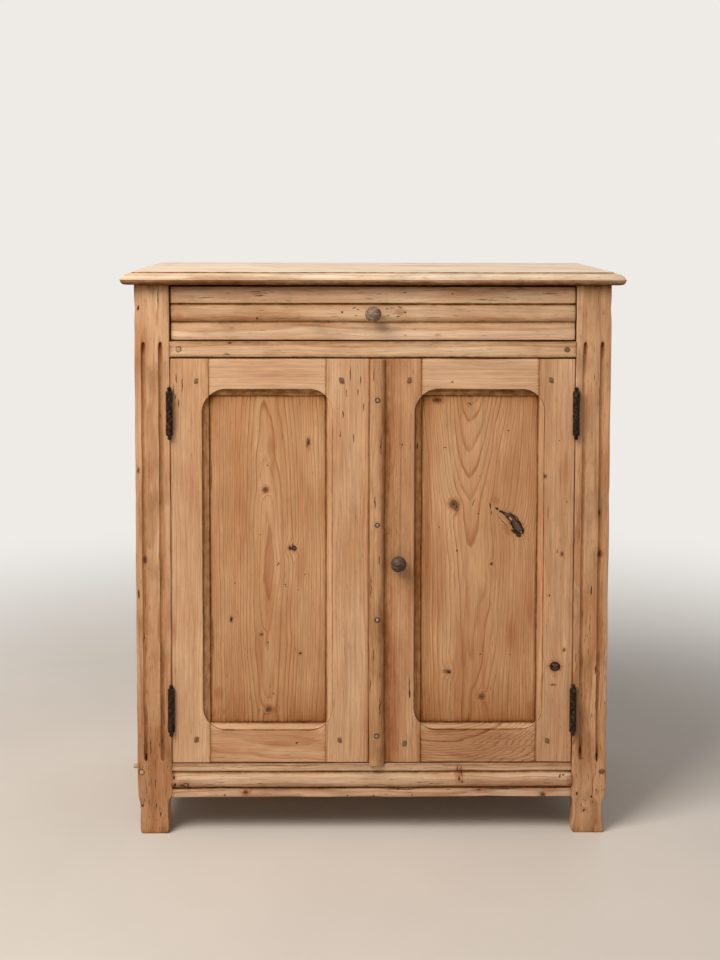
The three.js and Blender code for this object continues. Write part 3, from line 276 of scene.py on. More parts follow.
def dented(points, dents):
    """Presses round hollows: each (centre, reach, push) moves a point by push · exp(−(distance / reach)²)."""
    for centre, reach, push in dents:
        away = np.linalg.norm((points - np.asarray(centre)) / np.asarray(reach), axis=1, keepdims=True)
        points = points + np.asarray(push) * np.exp(-away ** 2)
    return points


def faces_of(rows, columns, first):
    """Faces of one closed grid: a quad between neighbours, and a fan from each end row to its pole."""
    index = first + np.arange(rows * columns).reshape(rows, columns)
    right = np.roll(index, -1, 1)
    quads = np.stack([index[:-1], right[:-1], right[1:], index[1:]], -1).reshape(-1, 4)
    poles = first + rows * columns + np.arange(2)
    start = np.stack([right[0], index[0], np.full(columns, poles[0])], -1)
    end = np.stack([index[-1], right[-1], np.full(columns, poles[1])], -1)
    return quads.tolist() + start.tolist() + end.tolist()


ORDER = {"x": (1, 2, 0), "y": (2, 0, 1), "z": (0, 1, 2)}


def lay_grain(mesh, points, grime, grain, heart, stretch, seed, tone, level):
    """Writes what the wood's material reads: board is the point across, in depth and along the grain in mm,
    heart the same from the tree's heart, its run along the grain as stretch · level · tanh(run / level), so
    the rings make arches near the heart and straight lines beyond the level distance. The tone is one number,
    or pairs (height in mm, tone) for a board that is darker or paler in places: it holds painted light and
    shade, and some boards' own darkness."""
    order = list(ORDER[grain])
    place = points[:, order]
    rng = np.random.default_rng(seed + 1000)
    shift = rng.uniform(-900, 900, 3)
    from_heart = (points - np.asarray(heart))[:, order]
    from_heart[:, 2] = stretch * level * np.tanh(from_heart[:, 2] / level)
    if isinstance(tone, tuple):
        tone = np.interp(points[:, 2], *np.transpose(tone))
    for name, kind, key, values in (("board", "FLOAT_VECTOR", "vector", place + shift),
                                    ("heart", "FLOAT_VECTOR", "vector", from_heart),
                                    ("grime", "FLOAT", "value", grime),
                                    ("tone", "FLOAT", "value", tone + np.zeros(len(points)))):
        layer = mesh.attributes.new(name, kind, "POINT")
        layer.data.foreach_set(key, np.asarray(values, np.float32).ravel())


def finish_piece(mesh, name, body, material, nodes):
    """Shades a mesh, gives it its material and hangs it on its body."""
    mesh.shade_smooth()
    mesh.set_sharp_from_angle(angle=math.radians(38))
    mesh.materials.append(material)
    made = bpy.data.objects.new(name, mesh)
    bpy.context.scene.collection.objects.link(made)
    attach(made, body)
    if nodes:
        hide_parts(*nodes)


def piece(name, parts, body, material, nodes=(), grain="z", heart=(-400, 60, 500), stretch=0.03, seed=0,
          tone=1.0, wave=None, dents=(), level=900.0):
    """Joins closed grids of points into one mesh that wanders like hand-planed wood, and hangs the piece."""
    points, faces = np.zeros((0, 4)), []
    for grid in parts:
        faces += faces_of(*grid.shape[:2], len(points))
        points = np.concatenate([points, grid.reshape(-1, 4), [grid[0].mean(0), grid[-1].mean(0)]])
    place, grime = points[:, :3], points[:, 3]
    size = bpy.context.scene.cupboard_wood.waviness / MM if wave is None else wave
    moved = dented(wander(place, seed, size) if size else place, dents)
    mesh = bpy.data.meshes.new(name)
    mesh.from_pydata((moved * MM + [0, FACE, 0]).tolist(), [], faces)
    lay_grain(mesh, place, grime, grain, heart, stretch, seed, tone, level)
    finish_piece(mesh, name, body, material, nodes)


def worn_copy(name, node, body, material, grain="x", heart=(0, 300, 200), stretch=0.03, seed=0,
              bevel=0.5):
    """A copy of a CAD node, its triangles merged into faces and its sharp edges broken by a small round."""
    made = bmesh.new()
    made.from_mesh(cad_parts[node].data)
    bmesh.ops.remove_doubles(made, verts=made.verts, dist=0.00001)
    bmesh.ops.dissolve_limit(made, angle_limit=math.radians(2), verts=made.verts, edges=made.edges)
    sharp = [e for e in made.edges if len(e.link_faces) == 2 and e.calc_face_angle(0) > math.radians(35)]
    bmesh.ops.bevel(made, geom=sharp, offset=bevel * MM, offset_type="OFFSET", segments=2, profile=0.5,
                    affect="EDGES", clamp_overlap=True)
    bmesh.ops.recalc_face_normals(made, faces=made.faces)
    mesh = bpy.data.meshes.new(name)
    made.to_mesh(mesh)
    made.free()
    points = np.zeros(len(mesh.vertices) * 3)
    mesh.vertices.foreach_get("co", points)
    points = points.reshape(-1, 3) / MM - [0, FACE / MM, 0]
    lay_grain(mesh, points, np.zeros(len(points)), grain, heart, stretch, seed, 1.0, 900.0)
    finish_piece(mesh, name, body, material, [node])


# Finishes


def add(tree, kind, inputs=(), out=0, ramp=(), **settings):
    """Adds one node with its settings and returns an output of it, or the node itself where out is None.

    The kind is the node's type without "ShaderNode", and its operation after a dot. Inputs are values or
    links, by name or number or in their order; text is a colour. A ramp is rows of (place, colour, alpha)."""
    kind, _, operation = kind.partition(".")
    made = tree.nodes.new(kind if kind.startswith("NodeGroup") else "ShaderNode" + kind)
    if operation:
        settings["operation"] = operation
    for key, value in settings.items():
        setattr(made, key, value)
    for key, value in inputs.items() if isinstance(inputs, dict) else enumerate(inputs):
        if isinstance(value, bpy.types.NodeSocket):
            tree.links.new(value, made.inputs[key])
        else:
            made.inputs[key].default_value = linear(value)
    if ramp:
        stops = made.color_ramp.elements
        while len(stops) < len(ramp):
            stops.new(0.5)
        for stop, (place, colour, alpha) in zip(stops, ramp):
            stop.position = place
            stop.color = [*linear(colour)[:3], alpha]
    return made if out is None or not len(made.outputs) else made.outputs[out]


def blank_material(name):
    """A new material whose node tree is still empty, and the function that adds a node to it."""
    material = bpy.data.materials.new(name)
    material.use_nodes = True
    material.node_tree.nodes.clear()
    return material, partial(add, material.node_tree)


def nearest(node, place, spots):
    """The smallest distance to any spot (x, y, z, reach x, reach y, reach z, turn), 1 at a spot's rim."""
    smallest = None
    for x, y, z, rx, ry, rz, turn in spots:
        local = node("Mapping", {
            "Vector": place, "Location": (x * MM, y * MM + FACE, z * MM),
            "Rotation": (0, math.radians(turn), 0), "Scale": (rx * MM, ry * MM, rz * MM)},
            vector_type="TEXTURE")
        away = node("VectorMath.LENGTH", (local,), out="Value")
        smallest = node("Math.MINIMUM", (smallest, away)) if smallest else away
    return smallest


# Colour and cover of a knot and of a knot with bark round it, from its middle outwards.
KNOT = ((0, "33241B", 1), (0.12, "4A3427", 0.95), (0.26, "785640", 0.82), (0.37, "52362A", 0.85),
        (0.46, "8A573E", 0.6), (0.62, "A86A44", 0.4), (0.95, "B07A50", 0))
BARK_KNOT = ((0, "5C463C", 1), (0.2, "614A3E", 1), (0.3, "4A352B", 1), (0.355, "1D130E", 1),
             (0.42, "241812", 0.95), (0.455, "9C6B47", 0.45), (0.6, "A9764E", 0.3), (0.95, "B98258", 0))


def pine_figure():
    """The figure of a pine board as one node group.

    Rings: the distance from the heart, bent by slow noise and by the knots, divided by the ring width; each
    ring goes slowly from pale summer wood to a brown winter line and stops sharply. Over it come fibres,
    resin flecks, knots, nail holes, stains, the tone's painted light and shade, and soiling and painted shade
    in the joints and corners."""
    tree = bpy.data.node_groups.new("pine_figure", "ShaderNodeTree")
    node = partial(add, tree)
    sockets = {"Knots": 9.0, "Bark knots": 9.0, "Chips": 9.0, "Marks": 9.0, "Stains": 9.0, "Ring width": 5.0,
               "Ring strength": 0.6, "Curl": 3.4, "Redness": 0.3, "Fleck": 0.5, "Soot": 0.3,
               "Pale": "DBB088", "Deep": "C5946B", "Winter": "A3693B", "Red": "A55F33"}
    for name, value in sockets.items():
        kind = "NodeSocketColor" if isinstance(value, str) else "NodeSocketFloat"
        tree.interface.new_socket(name=name, in_out="INPUT", socket_type=kind).default_value = linear(value)
    for name, kind in (("Color", "Color"), ("Roughness", "Float"), ("Height", "Float")):
        tree.interface.new_socket(name=name, in_out="OUTPUT", socket_type="NodeSocket" + kind)
    given = node("NodeGroupInput", out=None).outputs
    board, heart, grime, tone = (node("Attribute", out=out, attribute_name=name) for name, out in (
        ("board", "Vector"), ("heart", "Vector"), ("grime", "Fac"), ("tone", "Fac")))
    # Sizes of each noise in mm, across the board, in its depth and along its grain, and its detail.
    noises = {}
    for name, size, detail in (
            ("bend", (75, 75, 300), 2), ("ripple", (16, 16, 95), 2), ("blotch", (55, 55, 190), 4),
            ("red", (26, 26, 330), 2), ("fibre", (2.3, 2.3, 50), 4), ("streak", (7, 7, 230), 3),
            ("fleck", (1.9, 1.9, 24), 2), ("dust", (9, 9, 16), 4), ("smoke", (38, 38, 75), 5),
            ("crumb", (1.9, 1.9, 4.5), 3)):
        scaled = node("VectorMath.MULTIPLY", (board, [1 / s for s in size]))
        noises[name] = node("TexNoise", {"Vector": scaled, "Scale": 1.0, "Detail": detail})
    away = node("VectorMath.LENGTH", (heart,), out="Value")
    for noise, reach in (("bend", 22.0), ("ripple", given["Curl"])):
        away = node("Math.MULTIPLY_ADD", (noises[noise], reach, away))
    # The rings swerve round a knot by push / (1 + d²), with d its distance in radii.
    for knot, push in (("Knots", 15.0), ("Bark knots", 22.0)):
        square = node("Math.MULTIPLY_ADD", (given[knot], given[knot], 1.0))
        away = node("Math.ADD", (node("Math.DIVIDE", (push, square)), away))
    spread = node("TexNoise", {"W": node("Math.MULTIPLY", (away, 0.03)), "Scale": 1.0, "Detail": 1.0},
                 noise_dimensions="1D")
    ring = node("Math.DIVIDE", (away, given["Ring width"]))
    ring = node("Math.MULTIPLY_ADD", (spread, 4.0, ring))
    own = node("TexWhiteNoise", {"W": node("Math.FLOOR", (ring,))}, noise_dimensions="1D")
    line = node("ValToRGB", (node("Math.FRACT", (ring,)),), ramp=[(at, (dark,) * 3, 1) for at, dark in (
        (0, 0), (0.35, 0.05), (0.66, 0.25), (0.86, 1), (0.94, 0.9), (1, 0))])
    ranged = {}
    for name, source, *ends in (
            ("own", own, 0, 1, 0.45, 1.0), ("fade", noises["streak"], 0.3, 0.62, 0.45, 1.0),
            ("patch", noises["blotch"], 0.32, 0.68), ("red", noises["red"], 0.5, 0.74),
            ("fibre", noises["fibre"], 0.27, 0.73, 0.84, 1.13),
            ("streak", noises["streak"], 0.25, 0.75, 0.88, 1.1), ("smoke", noises["smoke"], 0.5, 0.74),
            ("broken", noises["fibre"], 0.35, 0.65, 0.35, 0.95),
            ("crumb", noises["crumb"], 0.3, 0.7, 0.45, 1.5), ("mark", given["Marks"], 1.2, 0.7, 0.0, 0.92),
            ("chip", given["Chips"], 1.1, 0.6, 0.0, 0.9), ("dirt", noises["dust"], 0.3, 0.7, 0.6, 1.15)):
        ranged[name] = node("MapRange", (source, *ends))
    for name in ("own", "fade"):
        line = node("Math.MULTIPLY", (line, ranged[name]))
    colour = given["Pale"]
    for share, over in ((ranged["patch"], given["Deep"]),
                        (node("Math.MULTIPLY", (ranged["red"], given["Redness"])), given["Red"]),
                        (node("Math.MULTIPLY", (line, given["Ring strength"])), given["Winter"])):
        colour = node("Mix", {0: share, 6: colour, 7: over}, out=2, data_type="RGBA")
    # The tone, mostly painted light and shade and partly a board's own darkness: below 1 the wood is darker
    # and redder, above 1 paler: colour ^ (2.2 − 1.2 tone) · tone ^ 0.4.
    colour = node("Gamma", (colour, node("Math.MULTIPLY_ADD", (tone, -1.2, 2.2))))
    shade = node("Math.MULTIPLY", (ranged["fibre"], ranged["streak"]))
    shade = node("Math.MULTIPLY", (shade, node("Math.POWER", (tone, 0.4))))
    colour = node("VectorMath.SCALE", {0: colour, "Scale": shade})
    # More dark specks show where the tone is lower, mostly where shade is painted.
    sparse = node("Math.MULTIPLY_ADD", (tone, 0.3, 0.35))
    fleck = node("MapRange", (noises["fleck"], sparse, node("Math.ADD", (sparse, 0.12))))
    fleck = node("Math.MULTIPLY", (fleck, given["Fleck"]))
    stain = node("ValToRGB", (node("Math.MULTIPLY", (given["Stains"], 0.75)),), out=None, ramp=(
        (0, "99562F", 0.75), (0.5, "9E5C34", 0.55), (1, "A4653A", 0))).outputs
    layers = [(node("Math.MULTIPLY", (ranged["smoke"], given["Soot"])), "7A5430"), (fleck, "5A351B"),
              (node("Math.MULTIPLY", (stain[1], ranged["broken"])), stain[0])]
    for knot, ramp in (("Knots", KNOT), ("Bark knots", BARK_KNOT)):
        core = node("ValToRGB", (node("Math.MULTIPLY", (given[knot], 0.4)),), out=None, ramp=ramp).outputs
        layers.append((core[1], node("VectorMath.SCALE", {0: core[0], "Scale": ranged["crumb"]})))
    layers += [(ranged["mark"], "21140C"), (ranged["chip"], "BE9878")]
    for share, over in layers:
        colour = node("Mix", {0: share, 6: colour, 7: over}, out=2, data_type="RGBA")
    dirt = node("Math.MULTIPLY", (ranged["dirt"], grime), use_clamp=True)
    # Thin dirt and painted shade deepen the wood like a glaze and tint it olive, thick amounts cover it in
    # dark brown.
    colour = node("Gamma", (colour, node("Math.MULTIPLY_ADD", (dirt, 0.9, 1.0))))
    olive = node("Mix", {0: dirt, 6: (1, 1, 1, 1), 7: (0.62, 0.6, 0.38, 1)}, out=2, data_type="RGBA")
    colour = node("VectorMath.MULTIPLY", (colour, olive))
    cover = node("Math.MULTIPLY", (node("Math.MULTIPLY", (dirt, dirt)), 0.75))
    colour = node("Mix", {0: cover, 6: colour, 7: "38240C"}, out=2, data_type="RGBA")
    rough = node("Math.MULTIPLY_ADD", (noises["fibre"], 0.16, 0.52))
    rough = node("Math.MULTIPLY_ADD", (dirt, 0.3, rough))
    height = line
    for relief, depth in ((noises["fibre"], 0.8), (fleck, -0.7), (ranged["mark"], -2.5)):
        height = node("Math.MULTIPLY_ADD", (relief, depth, height))
    node("NodeGroupOutput", (colour, rough, height))
    return tree


def front(x, z, rx, rz, turn=0.0, deep=60.0):
    """A spot on the front: its middle, half width and half height in mm, and its turn in degrees."""
    return (x, 0.0, z, rx, deep, rz, turn)


SPOTS = ("knots", "bark_knots", "chips", "marks", "stains")


def pine(name, edge=1.6, half=None, **looks):
    """Stripped and waxed pine: soft, open and matt, with sawn ring lines, dark knots, and soiling and painted
    shade in corners.

    The looks are the figure's inputs: numbers, colours, and lists of spots, either whole or as front() takes
    them. The edge is how ragged the spots' rims are in mm. The half says which side of the cupboard the
    boards are on: spots far off on the other side are left out."""
    if name in bpy.data.materials:
        return bpy.data.materials[name]
    figure = bpy.data.node_groups.get("pine_figure") or pine_figure()
    material, node = blank_material(name)
    looks = {key: linear(value) for key, value in looks.items()}
    looks.setdefault("pale", [*bpy.context.scene.cupboard_wood.honey, 1.0])
    looks.setdefault("deep", [part * share for part, share in zip(looks["pale"], DEEPER)])
    place = node("TexCoord", out="Object")
    ragged = node("TexNoise", {"Vector": place, "Scale": 170.0, "Detail": 2.0}, out="Color")
    shift = node("VectorMath.SUBTRACT", (ragged, (0.5, 0.5, 0.5)))
    shift = node("VectorMath.SCALE", {0: shift, "Scale": edge * 2 * MM})
    place = node("VectorMath.ADD", (place, shift))
    outward = SIDES.get(half, 0)
    for key in SPOTS:
        spots = [spot for spot in looks.pop(key, ()) if spot[0] * outward > -FAR_OFF]
        if spots:
            looks[key] = nearest(node, place, [spot if len(spot) == 7 else front(*spot) for spot in spots])
    inputs = {key.replace("_", " ").capitalize(): value for key, value in looks.items()}
    wood = node("Group", inputs, out=None, node_tree=figure).outputs
    bump = node("Bump", {"Height": wood["Height"], "Strength": 0.35, "Distance": 0.0006})
    shader = node("BsdfPrincipled", {"Base Color": wood["Color"], "Roughness": wood["Roughness"],
                                     "Normal": bump, "IOR": 1.45, "Specular IOR Level": 0.14})
    node("OutputMaterial", (shader,))
    return material


def middle_of(node):
    """The middle of a CAD node, seen from the front: x and z."""
    low, high = extent(node)
    return (low[0] + high[0]) / 2, (low[2] + high[2]) / 2


def peg_rims(node):
    """Dark spots that show as a rim round both pegs of a pair."""
    return [(*middle_of(f"{node}_{side}"), 5.6, 5.6, 0, 3) for side in ("left", "right")]


def mottled(name, colours, size, metal, rough, bump=0.3, stretch=(1, 1, 1), shine=0.4):
    """One coat over a solid body: three tones spread by noise of a size in mm, with a little relief."""
    if name in bpy.data.materials:
        return bpy.data.materials[name]
    material, node = blank_material(name)
    place = node("TexCoord", out="Object")
    place = node("Mapping", {"Vector": place, "Scale": [1000 / size / s for s in stretch]})
    cloud = node("TexNoise", {"Vector": place, "Scale": 1.0, "Detail": 4.0, "Roughness": 0.6})
    grain = node("TexNoise", {"Vector": place, "Scale": 6.0, "Detail": 3.0})
    both = node("Math.MULTIPLY_ADD", (grain, 0.45, cloud))
    colour = node("ValToRGB", (both,), ramp=[(at, code, 1) for at, code in zip((0.45, 0.7, 0.95), colours)])
    relief = node("Bump", {"Height": both, "Strength": bump, "Distance": 0.0008})
    shader = node("BsdfPrincipled", {
        "Base Color": colour, "Metallic": metal, "Normal": relief, "Specular IOR Level": shine,
        "Roughness": node("MapRange", (cloud, 0.3, 0.7, rough + 0.12, rough - 0.1))})
    node("OutputMaterial", (shader,))
    return material


def frame_pine(side):
    """Pine of the door frames, with their knots, cracks and nail holes."""
    return pine(
        f"{side}_door_frame_pine_stripped_and_waxed", half=side, ring_width=6.5, ring_strength=0.5, soot=0.1,
        redness=0.22,
        knots=[(346, 324, 6.4, 6, 0, 30), (357, 540, 2.4, 3.4), (324, 688, 2.4, 3), (363, 356, 2.2, 2.6)],
        bark_knots=[(346, 324, 9.2, 8.5, 0, 30)],
        marks=[(339, 324, 3.4, 2.6), (353.5, 324.6, 3.4, 2.4), (346, 322, 7, 1.1), (343, 288.5, 5.5, 0.9),
               (346, 330, 1.0, 2.4), (70, 285, 0.9, 21), (71, 272, 1.7, 8), (55, 748, 1.2, 3),
               (148, 866, 1.8, 1.8, 0, 8), (334, 461, 1.4, 3), (-17, 819, 0.9, 8), (-56, 805, 0.9, 7),
               (-28, 847, 0.9, 6), (-36, 760, 0.8, 9), (-61, 768, 0.8, 6), (-143, 177, 3, 0.9),
               (-143, 177, 0.9, 3), (348, 545, 0.8, 4), (-356, 860, 0.9, 14), (-372, 850, 0.8, 12),
               (-363, 826, 0.8, 8), (-367, 873, 0.9, 9), (-369, 838, 0.7, 5), (-42, 880, 0.8, 12),
               (-23, 870, 0.8, 8), (-50, 845, 0.7, 7), (350, 756, 1.2, 1), (330, 620, 0.7, 12),
               (365, 640, 0.8, 3), (84, 745, 0.8, 8)],
        stains=[(52, 640, 1.8, 190), (78, 720, 1.6, 110), (70, 430, 2.2, 120), (84, 300, 1.8, 100),
                (42, 300, 1.8, 90), (362, 702, 4, 36), (352, 690, 2, 26), (-176, 175, 30, 7),
                (-368, 800, 5, 30), (-375, 395, 6, 30), (346, 306, 3, 4), (343, 288.5, 8, 3)])


def curly_pine():
    """The board from beside a branch in the right door's bottom rail: its rings run in long waves."""
    return pine("bottom_rail_pine_curly", ring_width=6.0, ring_strength=1.0, curl=15.0, soot=0.15,
                winter="805232", stains=[(171, 163, 4, 2), (212, 161, 3, 2), (170, 152, 30, 4, 8)])


def post_pine(side):
    """Pine of the posts: the most handled boards, streaked with old stains and soot, with cracks, knots and
    nicks.
    """
    return pine(
        f"{side}_post_pine_stripped_and_waxed", half=side, ring_width=4.5, soot=0.45, fleck=0.9, redness=0.2,
        knots=[(-428, 529, 3, 6), (428, 540, 4, 6), (426, 619, 2, 5), (-439, 700, 2, 4)],
        marks=[(-400, 1021, 0.9, 23), (-437, 1004, 2, 5), (-440, 464, 1.6, 9), (-429, 149, 2, 8),
               (-430, 936, 0.7, 5), (-398, 936, 0.7, 5), (397, 937, 0.5, 4), (429, 936, 0.8, 6),
               (-437, 55, 2.4, 2), (-402, 38, 1.2, 4.5), (-410, 55, 0.8, 6), (404, 45, 1.5, 3.2, 30),
               (399, 54, 0.8, 4), (427, 84, 0.9, 3), (421, 60, 0.8, 3), (413, 470, 1.2, 9),
               (423, 318, 1.2, 9), (427, 147, 2, 9), (396, 160, 2, 9), (418, 71, 1.6, 3), (390, 77, 1.5, 4),
               *peg_rims("foot_peg"), (-420, 170, 0.9, 17), (-431, 380, 0.8, 10), (-386, 250, 0.7, 12),
               (-411, 99, 0.8, 9), (-428, 86, 0.7, 6)],
        stains=[(-430, 932, 3.2, 17), (-398, 932, 3.2, 17), (397, 933, 2.4, 15), (429, 932, 3.4, 17),
                (-410, 27, 2.4, 2), (-424, 32, 2.4, 2), (389, 76, 6, 3), (418, 58, 1.6, 6),
                (440, 34, 2.4, 9), (428, 22, 4, 7), (-402, 986, 3, 16), (-420, 170, 3, 26),
                (-419, 702, 2.2, 40), (404, 46, 6, 7), (-391, 560, 2.2, 80), (434, 420, 2.4, 90),
                (403, 250, 2.4, 70), (-436, 260, 2.4, 90), (-409, 880, 2, 50), (-424, 420, 1.8, 60),
                (418, 700, 2, 70), (-389, 300, 1.8, 50)])


def seen_by(node, *rays):
    """1 where a ray of one of these kinds arrives, else 0."""
    path = node("LightPath", out=None).outputs
    seen = path[f"Is {rays[0]} Ray"]
    for kind in rays[1:]:
        seen = node("Math.MAXIMUM", (seen, path[f"Is {kind} Ray"]))
    return seen


def stage_light(name, spot, aim, size, power, colour):
    """A square area lamp at a spot, turned to face its aim."""
    lamp = bpy.data.lights.new(name, "AREA")
    lamp.shape = "SQUARE"
    lamp.size = size
    lamp.energy = power
    lamp.color = linear(colour)[:3]
    holder = bpy.data.objects.new(name, lamp)
    holder.location = spot
    holder.rotation_euler = (Vector(aim) - Vector(spot)).to_track_quat("-Z", "Y").to_euler()
    bpy.context.scene.collection.objects.link(holder)


class CUPBOARD_OT_stage(bpy.types.Operator):
    """Build the pale floor, the lamps, the white room and the camera"""

    bl_idname = "cupboard.stage"
    bl_label = "Floor, lamps and camera"

    def execute(self, context):
        studio = context.scene.cupboard_studio
        around = 72
        reach = np.concatenate([np.linspace(0, 1.4, 8)[1:], [2.2, 3.5, 6, 12]])[:, None]
        angle = np.linspace(0, 2 * math.pi, around, endpoint=False)[None, :]
        rings = np.stack([reach * np.cos(angle), reach * np.sin(angle), 0 * reach * angle], -1).reshape(-1, 3)
        index = np.arange(len(rings)).reshape(len(reach), around)
        right = np.roll(index, -1, 1)
        quads = np.stack([index[:-1], index[1:], right[1:], right[:-1]], -1).reshape(-1, 4).tolist()
        fan = np.stack([index[0], right[0], np.full(around, len(rings))], -1).tolist()
        mesh = bpy.data.meshes.new("studio_floor")
        mesh.from_pydata([*rings.tolist(), (0, 0, 0)], [], quads + fan)
        material, node = blank_material("matt_painted_studio_floor")
        place = node("TexCoord", out="Object")
        cloud = node("TexNoise", {"Vector": place, "Scale": 2.5, "Detail": 5.0})
        tint = node("MapRange", (cloud, 0.3, 0.7, 0.97, 1.03))
        colour = node("VectorMath.SCALE", {0: [*studio.floor], "Scale": tint})
        matt = node("BsdfPrincipled", {"Base Color": colour, "Roughness": 0.85})
        far = node("VectorMath.LENGTH", (place,), out="Value")
        far = node("MapRange", (far, 0.75, 2.6), interpolation_type="SMOOTHSTEP")
        far = node("Math.MULTIPLY", (far, seen_by(node, "Camera", "Glossy")))
        glow = node("Emission", {"Color": BACKDROP, "Strength": 1.0})
        node("OutputMaterial", (node("MixShader", (far, matt, glow)),))
        mesh.materials.append(material)
        floor = bpy.data.objects.new("studio_floor", mesh)
        context.scene.collection.objects.link(floor)

        world = bpy.data.worlds.new("white_room")
        context.scene.world = world
        world.use_nodes = True
        world.node_tree.nodes.clear()
        node = partial(add, world.node_tree)
        light = node("Background", {"Color": "FFFBF5", "Strength": studio.room})
        white = node("Background", {"Color": BACKDROP, "Strength": 1.0})
        seen = seen_by(node, "Camera", "Glossy", "Transmission")
        node("OutputWorld", (node("MixShader", (seen, light, white)),))

        stage_light("window_light", (-1.75, -1.95, 3.2), (0, 0, 0.7), 1.9, studio.key, "FFF7EE")
        stage_light("fill_light", (2.8, -2.4, 1.9), (0, 0, 0.6), 2.4, studio.fill, "FAF8FF")
        stage_light("back_light", (1.6, 2.4, 3.2), (0, 0, 0.8), 2.2, 2 * studio.fill, "FFFFFF")

        # A long lens at eye height, tilted down a little and shifted so that the feet stay in view.
        lens = bpy.data.cameras.new("camera")
        lens.lens = 54.0
        lens.sensor_width = 36.0
        lens.shift_y = -0.1875
        camera = bpy.data.objects.new("camera", lens)
        camera.location = (-0.0528, -2.8728, 1.1942)
        turn = Euler((math.radians(90 - 3.737), 0, math.radians(-0.603))).to_matrix()
        roll = Euler((0, 0, math.radians(0.098))).to_matrix()
        camera.rotation_euler = (turn @ roll).to_euler()
        context.scene.collection.objects.link(camera)
        context.scene.camera = camera
        context.scene.view_settings.view_transform = "Standard"
        return {"FINISHED"}


class CUPBOARD_OT_top(bpy.types.Operator):
    """Build the top board with its moulded edge"""

    bl_idname = "cupboard.top"
    bl_label = "Moulded top"

    def execute(self, context):
        # Two joints between its boards as thin marks, and a long band in the stain colour that darkens the
        # moulding low down.
        material = pine("top_pine_stripped_and_waxed", pale="F5E3CE", deep="ECD4B9", winter="BE9064",
                        ring_strength=0.8, ring_width=7.0, edge=0.4,
                        stains=[(0, 215, 1050, 3000, 3000, 9, 0)],
                        marks=[(0, y, 1072, 2000, 0.7, 30, 0) for y in (118, 262)])
        top, under = 1072.0, TOP_UNDER
        arc = np.radians(np.linspace(0, 90, 7))
        # Each row: how far out of the flat edge (x ±447, y −2) the moulding stands, its height, and the dirt
        # and painted shade on it.
        rows = [(0.0, top, 0.1), (0.35, top - 0.5, 0.7), (0.4, top - 1.9, 1.0), (1.4, top - 2.2, 0.9)]
        rows += [(1.8 + 17.5 * math.sin(t), top - 2.3 - 10.2 * (1 - math.cos(t)),
                  0.03 + 0.7 * math.exp(-9 * t)) for t in arc]
        rows += [(20.2, top - 12.9, 0.0), (21.0, top - 13.6, 0.05), (20.8, top - 14.5, 0.25)]
        rows += [(12 + 8.0 * math.cos(t), top - 15 - 8.4 * math.sin(t), 0.4 + 0.3 * t) for t in arc]
        rows += [(9.0, under + 0.1, 0.6), (1.0, under, 0.5)]
        inner = [0.06, 0.25, 0.55, 0.85, 0.97, 0.993]
        half = 447.0
        front_edge, back_edge = -2.0, 428.0

        def ring(out, height, dirt, shrink=1.0):
            wide, near = half + out, front_edge - out
            corner = min(1.5, out) * 0.3
            share = np.linspace(0, 1, 17)[1:-1]
            x_share, y_share = 2 * wide * share, (back_edge - near) * share
            loop = np.concatenate([np.stack(np.broadcast_arrays(x, y), 1) for x, y in (
                ([-wide + corner, *(-wide + x_share), wide - corner], near),
                (wide, [near + corner, *(near + y_share), back_edge]),
                ([wide, *(wide - x_share), -wide], back_edge),
                (-wide, [back_edge, *(back_edge - y_share), near + corner]))])
            # Less dirt and painted shade on the back edge.
            worn = np.where(loop[:, 1:] > back_edge - 1, 0.25 * dirt, dirt)
            middle = np.array([0, (front_edge + back_edge) / 2])
            loop = middle + (loop - middle) * shrink
            return np.concatenate([loop, np.full((len(loop), 1), height), worn], 1)

        grids = [ring(0, under, 0.3, s) for s in inner]
        grids += [ring(out, height, dirt) for out, height, dirt in rows[::-1]]
        grids += [ring(0, top, 0.0, s) for s in inner[::-1]]
        # The tone paints light and shade by height: darkest on the underside, lighter up the moulding, palest
        # on the top face.
        piece("top", [np.stack(grids)], "cabinet", material, ["top_board"], grain="x",
              heart=(200, 60, 1030), stretch=0.05, seed=11, wave=0.35,
              tone=((1048, 0.7), (1058, 0.74), (1059.6, 0.8), (1066, 0.86), (1070, 0.93), (1071.6, 1.08)))
        return {"FINISHED"}


# How far each front foot is worn back from the post's outer and inner edge: heights, then distances.
FEET = {"left": (([0, 3, 9, 46, 60, 74], [7.5, 5.5, 4.5, 4.8, 3.4, 0]),
                 ([0, 4, 10, 20, 38, 64, 71, 72.5], [10, 7.5, 6.2, 6.5, 7.6, 6.4, 2.0, 0])),
        "right": (([0, 2, 6, 16, 31, 47, 58, 67, 76], [4.0, 2.2, 1.6, 2.3, 5.1, 6.3, 5.6, 3.6, 0]),
                  ([0, 4, 10, 30, 45, 60, 69, 72.5], [5, 2.5, 2.2, 3.6, 4.0, 3.6, 2.4, 0]))}
# How much deeper the painted shade low on each post is: a little more on the left side, less on the right.
FOOT_TONE = {"left": -0.035, "right": 0.025}


def post_plan(z, side, sign, front_face):
    """Both ends of a post's section in x, and how far back it starts, at each height: the foot is worn back
    below the base rail and flares out again towards the floor."""
    outer, inner = (np.interp(z, heights, worn) for heights, worn in FEET[side])
    edges = np.stack([CASE_HALF - outer, OPENING_HALF + inner], 1) * sign
    places, leans = ([0, 3, 16, 60, 74], [3, 1.6, 1.2, 1.2, 0]) if front_face else ([0, 3, 9], [3, 1, 0])
    return (edges.min(1), edges.max(1)), np.interp(z, places, leans)


